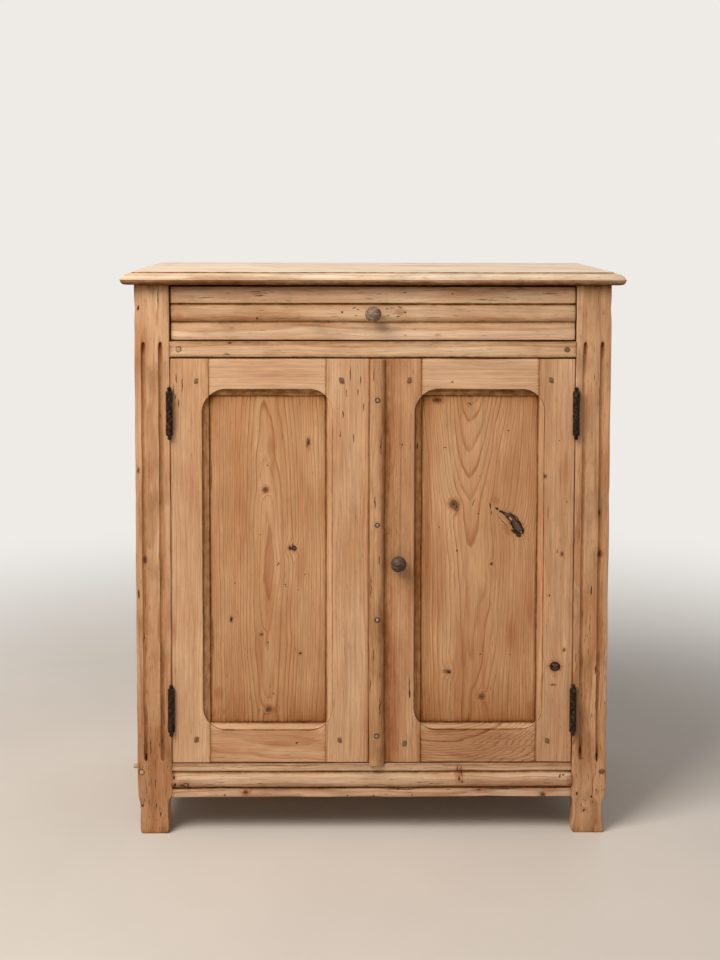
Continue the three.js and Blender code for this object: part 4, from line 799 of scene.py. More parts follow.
class CUPBOARD_OT_posts(bpy.types.Operator):
    """Build the four corner posts with their flutes and feet"""

    bl_idname = "cupboard.posts"
    bl_label = "Posts and feet"

    def execute(self, context):
        arris = context.scene.cupboard_wood.arris / MM
        low_z, high_z = FLUTE_ENDS
        across = np.array([-1.0, -0.97, -0.85, -0.6, -0.3, 0.0, 0.3, 0.6, 0.85, 0.97, 1.0])
        hollow = np.sqrt(np.maximum(1 - across ** 2, 0))
        for side, sign in SIDES.items():
            material = post_pine(side)
            z = stations(0, POST_TOP, 22, [(0, 90, 4), (low_z - 2, low_z + 18, 1.5),
                                           (high_z - 18, high_z + 3, 1.5)])
            ends, lean = post_plan(z, side, sign, True)
            wear = wavering(z, 20 + sign, 12, 90, 4) / 4
            radius = arris * (1.1 + 0.7 * wear) + np.interp(z, [0, 20, 70, 90], [1.6, 0.8, 0.6, 0])
            section = rounded_box(ends, (lean, 45.0), radius, [0.5], stations(0, 1, 0.2)[1:-1])
            # The front side is laid again, with a grid that follows both flutes.
            tip = np.clip(to_ends(z, low_z, high_z) / 14, 0, 1)
            tip = np.sqrt(1 - (1 - tip) ** 2)[:, None]
            # How dark the flutes' hollows are made, dirt and painted shade together, most at their upper
            # ends.
            lowness = np.interp(z, [low_z, low_z + 60, high_z - 40, high_z], [0.55, 0.3, 0.25, 0.9])[:, None]
            margin = np.stack([ends[0] + radius + 0.4, ends[1] - radius - 0.4], 1)
            plain = np.zeros((len(z), 1))
            columns, depths, dirt = [], [plain], [plain]
            for centre in sorted(np.array(FLUTES) * sign):
                columns += [centre + 4.6 * (0.35 + 0.65 * tip) * across, plain + centre + 7.5]
                depths += [3.6 * tip * hollow, plain]
                dirt += [lowness * hollow ** 1.5 * (tip > 0.05), plain]
            columns = np.clip(np.concatenate(columns[:-1], 1), margin[:, :1] + 0.2, margin[:, 1:] - 0.2)
            columns = np.concatenate([margin[:, :1], columns, margin[:, 1:]], 1)
            head = np.stack([columns, np.concatenate(depths, 1) + lean[:, None], np.concatenate(dirt, 1)], -1)
            post = np.concatenate([head, with_grime_and_shade(section[:, 1:])], 1)
            # Painted shade: a dark line just under the top, and a little at the floor.
            post[..., 2] += (0.25 * fading(z, 9) + 0.9 * fading(TOP_UNDER - 1 - z, 3.5))[:, None]
            dents = [((sign * x, 0, at), reach, (sign * push, back, 0)) for x, at, reach, push, back in (
                (445, 1004, (4, 5, 9), -1.3, 1.2), (444, 640, (4, 4, 14), -0.9, 0.8),
                (381, 420, (3, 4, 12), 0.6, 0.7), (437, 52, (5, 5, 5), -0.4, 1.8),
                (402, 38, (4, 4, 4), 0, 1.6), (441, 300, (3, 4, 20), -0.7, 0.6))]
            if side == "right":
                # This foot flares towards the door side where it has been kicked less.
                dents.append(((384, 0, 13), (9, 14, 9), (-3.6, -0.5, 0)))
            # The tone paints shade on the posts: darker low down, most near the top of the base rail, palest
            # near the top.
            low = FOOT_TONE[side]
            piece(f"front_post_{side}", [carried(post, z, "z", tip=1.0)], "cabinet", material,
                  [f"post_front_{side}"], heart=(sign * 405, 95, 500), stretch=0.02, seed=21 + sign,
                  tone=((0, 0.9 + low), (80, 0.88 + low), (130, 0.84 + low), (260, 0.86 + low), (500, 0.955),
                        (900, 0.975)), wave=0.3, dents=dents)
            z = stations(0, POST_TOP, 40, [(0, 80, 6)])
            ends, lean = post_plan(z, "left", sign, False)
            section = rounded_box(ends, (np.full(len(z), BACK_POST_FRONT), CASE_BACK - lean), arris,
                                  stations(0, 1, 0.2)[1:-1], stations(0, 1, 0.25)[1:-1])
            piece(f"back_post_{side}", [carried(with_grime_and_shade(section, 0.1), z, "z", tip=1.0)], "cabinet",
                  material, [f"post_back_{side}"], heart=(sign * 330, 300, 500), stretch=0.02,
                  seed=25 + sign, tone=0.92)
        return {"FINISHED"}


def moulded(profile, length, back):
    """The closed outline of a moulded rail in (y, z): its face from top to bottom, then round the back."""
    face = np.array(profile, float)
    low, high, foot = face[-1, 1], face[0, 1], face[-1, 0]
    face[0, 1] -= 1
    face[-1, 1] += 1
    loop = np.array([(0.3, high - 0.3, 0.1), *face.tolist(), (foot + 0.3, low + 0.3, 0.2),
                     (foot + 1, low, 0.2), (back * 0.5, low, 0.2), (back - 1, low, 0.2), (back, low + 1, 0),
                     (back, (low + high) / 2, 0), (back, high - 1, 0), (back - 1, high, 0),
                     (back * 0.5, high, 0), (1, high, 0)])
    return np.broadcast_to(loop, (length, *loop.shape)).copy()


class CUPBOARD_OT_base_rail(bpy.types.Operator):
    """Build the moulded rail under the doors"""

    bl_idname = "cupboard.base_rail"
    bl_label = "Base rail"

    def execute(self, context):
        material = pine(
            "base_rail_pine_stripped_and_waxed", pale="E3C4A7", deep="D0A989", ring_width=7.0, redness=0.5,
            fleck=0.9,
            knots=[(-241, 81, 4, 4), (325, 76, 4, 4)],
            marks=[(-361, 97, 6, 1.3), (-352, 100, 5, 1), (-357, 94.5, 7, 1), (-349, 95, 1.4, 5),
                   (-376, 112, 1.6, 4), (-374, 97, 2, 4), (357, 113, 1.2, 4, 25), (364, 115, 2.2, 1.6),
                   (162, 127, 0.8, 7), (169, 126, 0.8, 5, 10), (170, 117, 0.8, 6, -15), (165, 108, 1.5, 5),
                   (171, 103, 1.5, 2.4), (203, 85, 4, 1), (-280, 76, 2, 1.4), (-47, 74, 1.6, 1.6),
                   (3, 74, 1.6, 1.6), (76, 76, 1.6, 1.6), (56, 86.5, 34, 0.8), (248, 86.5, 31, 0.8)],
            stains=[(-357, 99, 15, 8), (-349, 97, 5, 11), (-376, 112, 5, 8), (-376, 98, 5, 6),
                    (-237, 82, 9, 7), (166, 116, 9, 22), (212, 84, 22, 6), (335, 84, 18, 5),
                    (374, 104, 6, 11)])
        turn = np.radians(np.linspace(-78, 78, 13))
        face = [(0, RAIL_HIGH, 0.5), (0, 130, 0.1), (0, 125, 0.1), (0.2, 123, 0.3), (1.6, 122.4, 0.6),
                (3.6, 121, 0.75), (3.4, 119.6, 0.75), (1.6, 118.9, 0.5)]
        face += [(-4.0 * math.cos(t), 105.1 - 13.4 * math.sin(t), 0.1 + 0.5 * (abs(t) / 1.36) ** 6)
                 for t in turn]
        face += [(1.6, 91.3, 0.5), (3.4, 90.6, 0.75), (3.6, 89.2, 0.75), (1.6, 88.1, 0.6), (0.2, 87.6, 0.3),
                 (0, 84, 0.08), (0, 78, 0.05), (0, RAIL_LOW, 0.15)]
        x = stations(-OPENING_HALF - INTO_POST, OPENING_HALF + INTO_POST, 20)
        outline = moulded(face, len(x), FRONT_THICK)
        outline[..., 2] += 0.7 * fading(to_ends(x, x[0], x[-1]), 2.5)[:, None]
        dents = [((0, 0, 74), (24, 6, 3), (0, 0.9, 0.8)), ((215, 0, 73), (9, 5, 3), (0, 0.7, 1.0)),
                 ((-150, 0, 73), (14, 5, 3), (0, 0.5, 0.7))]
        # The tone paints light and shade: darker on the lower half of the bead and the groove under it, paler
        # on its upper half.
        piece("base_rail", [carried(outline, x, "x", tip=0.3)], "cabinet", material,
              ["bottom_rail"], grain="x", heart=(200, 40, 60), seed=31, wave=0.3, dents=dents,
              tone=((87, 0.98), (91, 0.75), (97, 0.8), (104, 1.0), (112, 1.08), (119, 1.08), (123, 1.0)))
        return {"FINISHED"}


def drawer_pine():
    """Pine of the drawer's front and of the rail under it."""
    return pine(
        "drawer_front_pine_stripped_and_waxed", pale="E5C5A5", deep="D3AC88", ring_width=6.0, redness=0.2,
        fleck=0.8,
        marks=[(-216, 985, 2.2, 2, 0, 9), (-58, 997, 2.2, 2), (-36, 1004.5, 3.4, 0.9, -14),
               (-29, 1002, 2.4, 0.8, 30), (-32, 990, 3, 0.8, 12), (26, 1003, 3, 0.9, 8),
               (35, 1004.8, 3.4, 0.8, 5), (50, 1006, 4.5, 0.9, 14), (28, 990, 3, 0.8),
               (46, 988.5, 5, 0.8, -8), (59.6, 996.6, 2.4, 1.8), (59, 1034, 3, 0.9), (147, 1031.5, 2.2, 1.4),
               (-267, 939, 4, 1.2), (60, 953, 1.3, 1.2), (210, 1020, 22, 0.6, 3), (-310, 1024, 15, 0.6, -4),
               (-219, 1035, 11, 0.8, -5), (-211, 1027.5, 10, 0.8, -6), (-200, 1032, 5, 0.7, 20),
               (331, 1032, 16, 0.6), *peg_rims("drawer_rail_peg")],
        stains=[(-215, 1031.5, 11, 3.4, -5), (121, 954, 6, 2.4), (-264, 967, 4, 3), (50, 997, 9, 7),
                (-363, 986, 9, 9), (-120, 972, 40, 2, 3), (-262, 988, 60, 1.6, 4), (-345, 983, 26, 2)])


class CUPBOARD_OT_drawer_rail(bpy.types.Operator):
    """Build the rail between the drawer and the doors"""

    bl_idname = "cupboard.drawer_rail"
    bl_label = "Drawer rail"

    def execute(self, context):
        low, high = extent("drawer_rail")
        low[0], high[0] = -OPENING_HALF - INTO_POST, OPENING_HALF + INTO_POST
        low[1] = 0
        rod_low, rod_high = extent("bolt_rod")
        reach = (rod_high[0] - rod_low[0]) / 2
        x, y = rod_low[0] + reach, rod_low[1] + reach
        rail = board(low, high, "x", arris=1.2, step=25, seed=41, dirt=0.6, dense_along=[(x - 7, x + 7, 0.8)],
                     dense_across=[(y - 7, y + 7, 0.8)])
        # The hole that takes the tip of the left door's bolt.
        hole = (np.hypot(rail[..., 0] - x, rail[..., 1] - y) < reach + 1.3) & (rail[..., 2] < low[2] + 0.01)
        rail[hole, 2] = low[2] + 12
        piece("drawer_rail_board", [rail], "cabinet", drawer_pine(), ["drawer_rail"], grain="x",
              heart=(100, 60, 1010), stretch=0.04, seed=41, tone=1.02)
        return {"FINISHED"}


class CUPBOARD_OT_side_frames(bpy.types.Operator):
    """Build both framed sides"""

    bl_idname = "cupboard.side_frames"
    bl_label = "Framed sides"

    def execute(self, context):
        knots = [(s * 433, y, z, 40, r, r * 1.3, 0) for s, y, z, r in (
            (-1, 120, 760, 6), (-1, 288, 420, 8), (-1, 190, 250, 4), (-1, 300, 880, 4), (1, 250, 690, 7),
            (1, 110, 330, 6), (1, 330, 210, 4), (1, 160, 900, 5))]
        marks = [(s * 433, y, z, 40, 1.5, 1.5, 0) for s, y, z in (
            (-1, 90, 560), (-1, 240, 610), (1, 200, 520), (1, 300, 480))]
        panel_wood = pine("side_panel_pine_stripped_and_waxed", pale="CBA078", deep="B4855B", knots=knots,
                          marks=marks, ring_width=7.0, redness=0.5)
        near, far = 45, 380  # between the front and the back post
        for side, sign in SIDES.items():
            for level, heart in (("top", 1100), ("bottom", 0)):
                node = f"side_rail_{level}_{side}"
                low, high = extent(node)
                low[1], high[1] = near - INTO_POST, far + INTO_POST
                piece(f"{node}_board", [board(low, high, "y", seed=51 + sign, dirt=0.55)], "cabinet",
                      post_pine(side), [node], grain="y", heart=(sign * 380, 200, heart),
                      seed=52 + sign, tone=0.95)
            node = f"side_panel_{side}"
            low, high = extent(node)
            low[1], high[1] = near - INTO_GROOVE, far + INTO_GROOVE
            low[2], high[2] = RAIL_HIGH - INTO_GROOVE, PANEL_TOP + INTO_GROOVE
            panel = board(low, high, "z", step=40, seed=55 + sign)
            gap = np.minimum(to_ends(panel[..., 1], near, far), to_ends(panel[..., 2], RAIL_HIGH, PANEL_TOP))
            panel[..., 3] = 0.75 * fading(gap, 3.5)
            piece(f"{node}_board", [panel], "cabinet", panel_wood, [node],
                  heart=(sign * 410, 190 if side == "left" else 260, 300), stretch=0.09, seed=57 + sign,
                  tone=0.97, wave=0.5)
        return {"FINISHED"}


class CUPBOARD_OT_back(bpy.types.Operator):
    """Build the framed back with its three boards"""

    bl_idname = "cupboard.back"
    bl_label = "Back"

    def execute(self, context):
        knots = [(x, 413, z, r, 40, r * 1.2, 0) for x, z, r in (
            (-300, 700, 9), (-220, 330, 7), (-330, 240, 5), (-40, 820, 8), (60, 480, 10), (-80, 300, 6),
            (210, 640, 7), (320, 860, 6), (270, 260, 9), (330, 450, 4))]
        rough = pine("back_pine_rough_sawn", pale="B99067", deep="9C7048", winter="7D5029", knots=knots,
                     ring_width=8.0, redness=0.3)
        for level, heart in (("top", 1100), ("bottom", -20)):
            node = f"back_rail_{level}"
            low, high = extent(node)
            low[0], high[0] = -OPENING_HALF - INTO_POST, OPENING_HALF + INTO_POST
            piece(f"{node}_board", [board(low, high, "x", seed=61, dirt=0.55)], "cabinet",
                  post_pine("left"), [node], grain="x", heart=(0, 350, heart), seed=62, tone=0.88)
        for number, middle in ((1, -260), (2, 20), (3, 250)):
            node = f"back_board_{number}"
            low, high = extent(node)
            low[2], high[2] = RAIL_HIGH - INTO_GROOVE, PANEL_TOP + INTO_GROOVE
            edge = OPENING_HALF + INTO_GROOVE
            low[0], high[0] = max(low[0], -edge), min(high[0], edge)
            piece(f"{node}_plank", [board(low, high, "z", arris=0.8, step=40, seed=63 + number, dirt=0.9)],
                  "cabinet", rough, [node], heart=(middle, 440, 500), stretch=0.08,
                  seed=64 + number, tone=0.95, wave=0.5)
        return {"FINISHED"}


def inside_pine():
    """Unfinished pine of the inside: paler, drier and dustier than the outside."""
    knots = [(x, y, z, r, r, 30, 0) for x, y, z, r in (
        (-250, 150, 150, 9), (180, 260, 150, 7), (30, 90, 150, 5), (-120, 250, 540, 8), (240, 120, 540, 6),
        (-30, 200, 958, 7), (200, 300, 958, 5))]
    return pine("inside_pine_bare", pale="CDAA82", deep="B48E66", winter="98693F", knots=knots,
                ring_width=7.0, redness=0.25)


class CUPBOARD_OT_inside(bpy.types.Operator):
    """Build the bottom, the shelf with its cleats, the door stop and the drawer's runners"""

    bl_idname = "cupboard.inside"
    bl_label = "Shelf, bottom and runners"

    def execute(self, context):
        for number, (name, node, grain) in enumerate((
                ("bottom_planks", "bottom_board", "x"), ("shelf_plank", "shelf", "x"),
                ("shelf_cleat_left_batten", "shelf_cleat_left", "y"),
                ("shelf_cleat_right_batten", "shelf_cleat_right", "y"), ("door_stop_block", "door_stop", "x"),
                ("runner_left", "drawer_runner_left", "y"), ("runner_right", "drawer_runner_right", "y"))):
            worn_copy(name, node, "cabinet", inside_pine(), grain=grain,
                      heart=(100, 260, 60 + 200 * number), stretch=0.05, seed=70 + number)
        return {"FINISHED"}


# The moulding round a panel, from the sight edge out to the frame's face: offset, share of the full depth,
# and dirt, with painted shade where the hollow meets the panel and a thin dark line on the steep wall. A
# shallow hollow rises from the panel to a short steep wall, with a fine worn bead at its top.
COVE = np.transpose([
    (0, 1, 0.95), (0.6, 1, 0.8), (1.6, 1, 0.35), (2.8, 0.975, 0.12), (4.2, 0.95, 0.05), (5.4, 0.93, 0.02),
    (7, 0.885, 0), (8.7, 0.82, 0), (10.2, 0.73, 0.05), (11.2, 0.62, 0.25), (11.8, 0.5, 0.7),
    (12.1, 0.36, 0.85), (12.3, 0.24, 0.7), (12.6, 0.12, 0.3), (13.1, 0.045, 0.08), (13.6, 0.01, 0.02),
    (14, 0, 0)])


def cove_offsets(to_corner):
    """How far each line of the moulding stands from the sight edge at each distance from the sight's corner.

    A line of offset o is a rounded rectangle: straight at o, and near a corner on a circle of radius
    R = o / (1 − √½) that passes through the sight rectangle's corner: (o − R) + √(R² − d²)."""
    out = COVE[:1]
    radius = out / (1 - math.sqrt(0.5))
    run = np.maximum(radius - out - to_corner, 0)
    reach = out - radius + np.sqrt(np.maximum(radius ** 2 - run ** 2, 0))
    return np.where(to_corner <= 0, 0, np.clip(reach, 0, None))


def frame_member(places, sight_low, sight_high, width, arris, shaded):
    """The outline of a stile or rail at each place, as (distance from the sight edge, depth, soiling and
    painted shade).

    shaded is how much painted shade the whole hollow of the moulding gets, which differs from side to side
    with the light.
    Counterclockwise with the face below: the cove climbs from panel to face, then face, edge, back."""
    joint_dirt = 0.5
    depth = COVE_DEPTH * COVE[1]
    dirt = np.maximum(COVE[2], shaded * (depth > 0.3))
    to_corner = to_ends(places, sight_low, sight_high)[:, None]
    beyond = to_corner <= 0
    # Beyond the corner the edge is a plain joint with a slightly broken arris.
    reach = np.where(beyond, 0.35 * (1 - np.minimum(depth / 0.4, 1)), cove_offsets(to_corner))
    start = reach[:, -1:]
    face = np.concatenate([
        start + [0.7, 2.0, 5.0, 11.0], start + 16 + (width - 24 - start) * np.linspace(0, 1, 6)[1:-1],
        0 * start + [width - 6.0, width - 2.6]], 1)
    face_dirt = np.zeros_like(face)
    face_dirt[:, :3] = np.where(beyond, joint_dirt * np.array([0.8, 0.35, 0.08]), [0.03, 0, 0])
    sine, cosine, back = arris * np.sin(CORNER), arris * np.cos(CORNER), DOOR_THICK
    parts = [
        (0, back - 0.6, 0.4),
        (0, np.array([18.2, 10.0]), 0.8),
        (reach, depth, np.where(beyond, joint_dirt * (depth < 1), dirt)),
        (face, 0, face_dirt),
        (width - arris + sine, arris - cosine, 0.25),
        (width, np.array([7.0, 15.0]), 0.3),
        (width - arris + cosine, back - arris + sine, 0.1),
        (width + (0 - width) * np.array([0.15, 0.35, 0.6, 0.85]), back, 0),
        (0.6, back, 0.2),
    ]
    rows = np.zeros((len(places), 1))
    return np.concatenate([np.stack(np.broadcast_arrays(*(rows + c for c in part)), -1) for part in parts], 1)


def placed(outline, edge, direction, swap):
    """Turns an outline from (distance from the sight edge, depth) into the section of a stile or rail."""
    across = edge + direction * outline[..., 0]
    pair = (outline[..., 1], across) if swap else (across, outline[..., 1])
    section = np.stack([*pair, outline[..., 2]], -1)
    return section[:, ::-1] if (direction < 0) != swap else section


def door_panel_wood(side):
    """Wide panel boards: the left one has a red lens at its heart, the right one a branch knot."""
    if side == "left":
        knots = [(-202, 661, 4.5, 4.5), (-156, 550, 3, 3), (-210, 384, 2.6, 2.6), (-197, 239, 5.5, 5.5),
                 (-121, 752, 3, 6), (-267, 413, 2.5, 5)]
        bark = [(-148, 549, 4.6, 4.2), (-155, 549, 2.4, 2.8)]
        marks = [(-198, 368, 1.5, 1.5), (-121, 750, 1.2, 4), (-198, 707, 1.2, 1.2), (-164, 476, 1.2, 1.2),
                 (-180, 517, 1.2, 1.2), (-128, 499, 1.2, 1.2), (-140, 469, 1.2, 1.2), (-260, 482, 1.2, 1.2),
                 (-212, 575, 1.2, 1.2), (-187, 269, 1.4, 1.4), (-267, 413, 1.2, 4), (-137, 347, 2.6, 1.8),
                 (-150, 560, 0.6, 14), (-124, 745, 0.8, 5), (-177, 520, 1.0, 3), (-165, 480, 1.2, 1.2),
                 (-302, 380, 0.7, 40), (-303, 690, 0.7, 30), (-156.5, 549.5, 1.1, 4.4),
                 (-151.5, 555, 0.7, 3)]
        stains = [(-191, 742, 9, 22), (-188, 706, 5, 24), (-196, 500, 9, 90), (-292, 269, 8, 14),
                  (-137, 347, 5, 5), (-150, 549, 8, 9), (-137, 510, 8, 40), (-121, 745, 5, 12),
                  (-202, 661, 7, 7)]
        looks = {"winter": "9A6034", "redness": 0.3, "soot": 0.1}
    else:
        knots = [(153, 633, 7.5, 7, 20), (158, 628, 4, 9), (141, 312, 4.2, 3), (208, 263, 5, 5),
                 (121, 831, 7, 4)]
        # The branch knot: bark round a grey heart, black hollows at both ends, a sound patch in the middle.
        bark = [(253, 613.5, 3.2, 9, -62, 40), (264, 604, 6.0, 16, -48, 40), (273.5, 590, 8.4, 17, -38, 40),
                (225, 519, 2.2, 2.6), (146, 311, 3.4, 3)]
        marks = [(235, 624.5, 3.6, 2.4, 20), (242.5, 619, 4.6, 2.6, 15), (269, 580, 3.6, 9, -58),
                 (276, 573, 3.4, 6, -70), (279, 597, 1.6, 17, -28), (222, 630, 1.5, 6, -12),
                 (224.5, 617, 1.1, 4, -10), (266, 612, 1.3, 12, -52), (262, 594, 1.0, 9, -44),
                 (136, 741, 3, 1), (182, 824, 3, 1.5, 30), (262, 344, 1.4, 1.4), (205, 345, 1.4, 1.4),
                 (255, 773, 1.4, 1.4), (202, 686, 1.2, 1.2), (200, 615, 1.6, 1.2), (126, 589, 1.4, 1.4),
                 (159.6, 544.6, 1.8, 1.8), (190, 636, 0.8, 7, 18), (246, 600, 0.6, 17, -40)]
        stains = [(123, 831, 12, 8), (304, 243, 10, 12), (263, 382, 12, 34), (254, 583, 6, 14, -35),
                  (230, 640, 10, 8), (104, 600, 7, 250), (154, 634, 11, 11)]
        looks = {"winter": "985F34", "redness": 0.35, "soot": 0.1}
    chips = [] if side == "left" else [(261, 605, 2.4, 4.6, -48), (247, 603, 2.2, 9, -42),
                                       (281, 579, 1.3, 2.6, -30)]
    return pine(f"{side}_panel_pine_stripped_and_waxed", knots=knots, bark_knots=bark, chips=chips,
                marks=marks, stains=stains, ring_width=4.6, ring_strength=0.9,
                pale=[*bpy.context.scene.cupboard_wood.panel, 1.0], **looks)


# Heart, stretch and level of each door panel, as lay_grain() takes them.
PANEL_GRAIN = {"left": ((-196, 36, 500), 0.114, 260), "right": ((190, 24, 990), 0.21, 330)}


class CUPBOARD_OT_doors(bpy.types.Operator):
    """Build both framed doors with their arched mouldings"""

    bl_idname = "cupboard.doors"
    bl_label = "Doors"

    def execute(self, context):
        arris = context.scene.cupboard_wood.arris / MM
        # Painted light and shade per member: the top rails paler, the bottom rails darker but their
        # upward-facing coves (203–214 mm) paler, and the right door's inner stile darker in the strip's
        # shadow.
        tones = {"left_door_stile_outer": 1.0, "left_door_stile_inner": 1.0, "left_door_rail_top": 1.1,
                 "left_door_rail_bottom": ((139, 0.92), (199, 0.94), (203, 1.15), (214, 1.15)),
                 "right_door_stile_inner": ((140, 0.93), (400, 0.94), (500, 0.9), (909, 0.89)),
                 "right_door_stile_outer": 0.99, "right_door_rail_top": 1.08,
                 "right_door_rail_bottom": ((139, 0.85), (199, 0.87), (203, 1.1), (214, 1.1))}
        corners = [(SIGHT_LOW - 2, SIGHT_LOW + 36, 1.5), (SIGHT_HIGH - 36, SIGHT_HIGH + 2, 1.5)]
        joints = [SIGHT_LOW - 0.05, SIGHT_LOW + 0.3, SIGHT_HIGH - 0.3, SIGHT_HIGH + 0.05]
        upright = np.unique(np.concatenate([stations(DOOR_LOW, DOOR_HIGH, 22, corners), joints]))
        for number, (side, (near, far)) in enumerate(SIGHTS.items()):
            body = f"{side}_door"
            wood = frame_pine(side)
            for part in ("stile_outer", "stile_inner"):
                node = f"{body}_{part}"
                low, high = extent(node)
                goes_left = (part == "stile_outer") == (side == "left")
                edge, direction = (near, -1) if goes_left else (far, 1)
                width = abs((low[0] if goes_left else high[0]) - edge)
                # Painted shade in the coves on each sight's left, which face right, away from the light.
                shaded = 0.45 if goes_left else 0.0
                outline = frame_member(upright, SIGHT_LOW, SIGHT_HIGH, width, arris, shaded)
                if node == "left_door_stile_inner":
                    # The meeting edge is planed under square: it nearly reaches the strip at the face only.
                    at_edge = outline[..., 0] > width - 0.9
                    outline[..., 0] += at_edge * 1.3 * np.clip((11 - outline[..., 1]) / 5, 0, 1)
                if node == "right_door_stile_inner":
                    # Painted shade beside the cover strip, where its shadow falls on the stile's face.
                    beside = np.abs(outline[..., 0] - (edge - extent("astragal_strip")[1][0]))
                    outline[..., 2] += 0.6 * fading(beside, 14) * (outline[..., 1] < 0.1)
                piece(f"{node}_board", [carried(placed(outline, edge, direction, False), upright, "z")], body,
                      wood, [node], heart=(edge + direction * (width + 120), 60, 500),
                      stretch=0.015, seed=80 + 10 * number + len(part) + 3 * goes_left, tone=tones[node])
            # The top rail's cove faces down and gets deep painted shade; the bottom rail's faces up and gets
            # none.
            for part, edge, direction, width, shaded in (
                    ("rail_top", SIGHT_HIGH, 1, DOOR_HIGH - SIGHT_HIGH, 0.78),
                    ("rail_bottom", SIGHT_LOW, -1, SIGHT_LOW - DOOR_LOW, 0.0)):
                node = f"{body}_{part}"
                x = stations(near, far, 22, [(near, near + 36, 1.5), (far - 36, far, 1.5)])
                outline = frame_member(x, near, far, width, arris, shaded)
                if part == "rail_bottom":
                    # Old polish has gathered under the worn bead.
                    ink = np.interp(x, [near, near + 50, far - 60, far], INK[side])[:, None]
                    outline[..., 2] = np.maximum(outline[..., 2], ink * (np.abs(outline[..., 1] - 1.7) < 1.5))
                outline[..., 2] += 0.6 * fading(to_ends(x, near, far), 1.6)[:, None] * (outline[..., 1] < 2)
                outline[[0, -1], :, 2] = 0.8
                curly = node == "right_door_rail_bottom"
                heart = ((near + far) / 2, 70, edge + (190 if direction > 0 else -30))
                outline = placed(outline, edge, direction, True)
                piece(f"{node}_board", [carried(outline, x, "x", tip=0.3)], body,
                      curly_pine() if curly else wood, [node], grain="x",
                      heart=(135, 20, 268) if curly else heart, stretch=0.62 if curly else 0.05,
                      seed=90 + number + direction, tone=tones[node])
            node = f"{body}_panel"
            low, high = extent(node)
            panel = board((near - 3, low[1], SIGHT_LOW - 3), (far + 3, high[1], SIGHT_HIGH + 3), "z",
                          arris=0.4, step=20, seed=95 + number,
                          dense_along=[(SIGHT_LOW - 1, SIGHT_LOW + 16, 2),
                                       (SIGHT_HIGH - 22, SIGHT_HIGH + 1, 1.2)],
                          dense_across=[(near - 1, near + 16, 1.4), (far - 16, far + 1, 1.4)])
            x, z = panel[..., 0], panel[..., 2]
            gap = np.minimum(to_ends(x, near, far), to_ends(z, SIGHT_LOW, SIGHT_HIGH))
            # Dirt and painted shade round the panel: a dark line in the gap under the moulding, broader
            # painted shade from the top, left and bottom edges, most in the top corners under the arch.
            panel[..., 3] = 0.85 * fading(gap, 1.1)
            for distance, reach, depth in ((x - near, 10, 0.2), (far - x, 5, 0.1), (SIGHT_HIGH - z, 14, 0.2),
                                           (z - SIGHT_LOW, 14, 0.25)):
                panel[..., 3] += depth * fading(distance, reach)
            corner = np.exp((near - x) / 22) + np.exp((x - far) / 22)
            panel[..., 3] += 0.35 * corner * np.exp(-np.abs(SIGHT_HIGH - z) / 20)
            heart, stretch, level = PANEL_GRAIN[side]
            # The tone paints shade on the panel: darker towards the bottom and just under the top rail.
            piece(f"{node}_board", [panel], body, door_panel_wood(side), [node], heart=heart,
                  stretch=stretch, seed=96 + number, wave=0.35, level=level,
                  tone=((214, 0.85), (300, 0.96), (400, 1.01), (760, 1.02), (840, 0.98)))
        return {"FINISHED"}


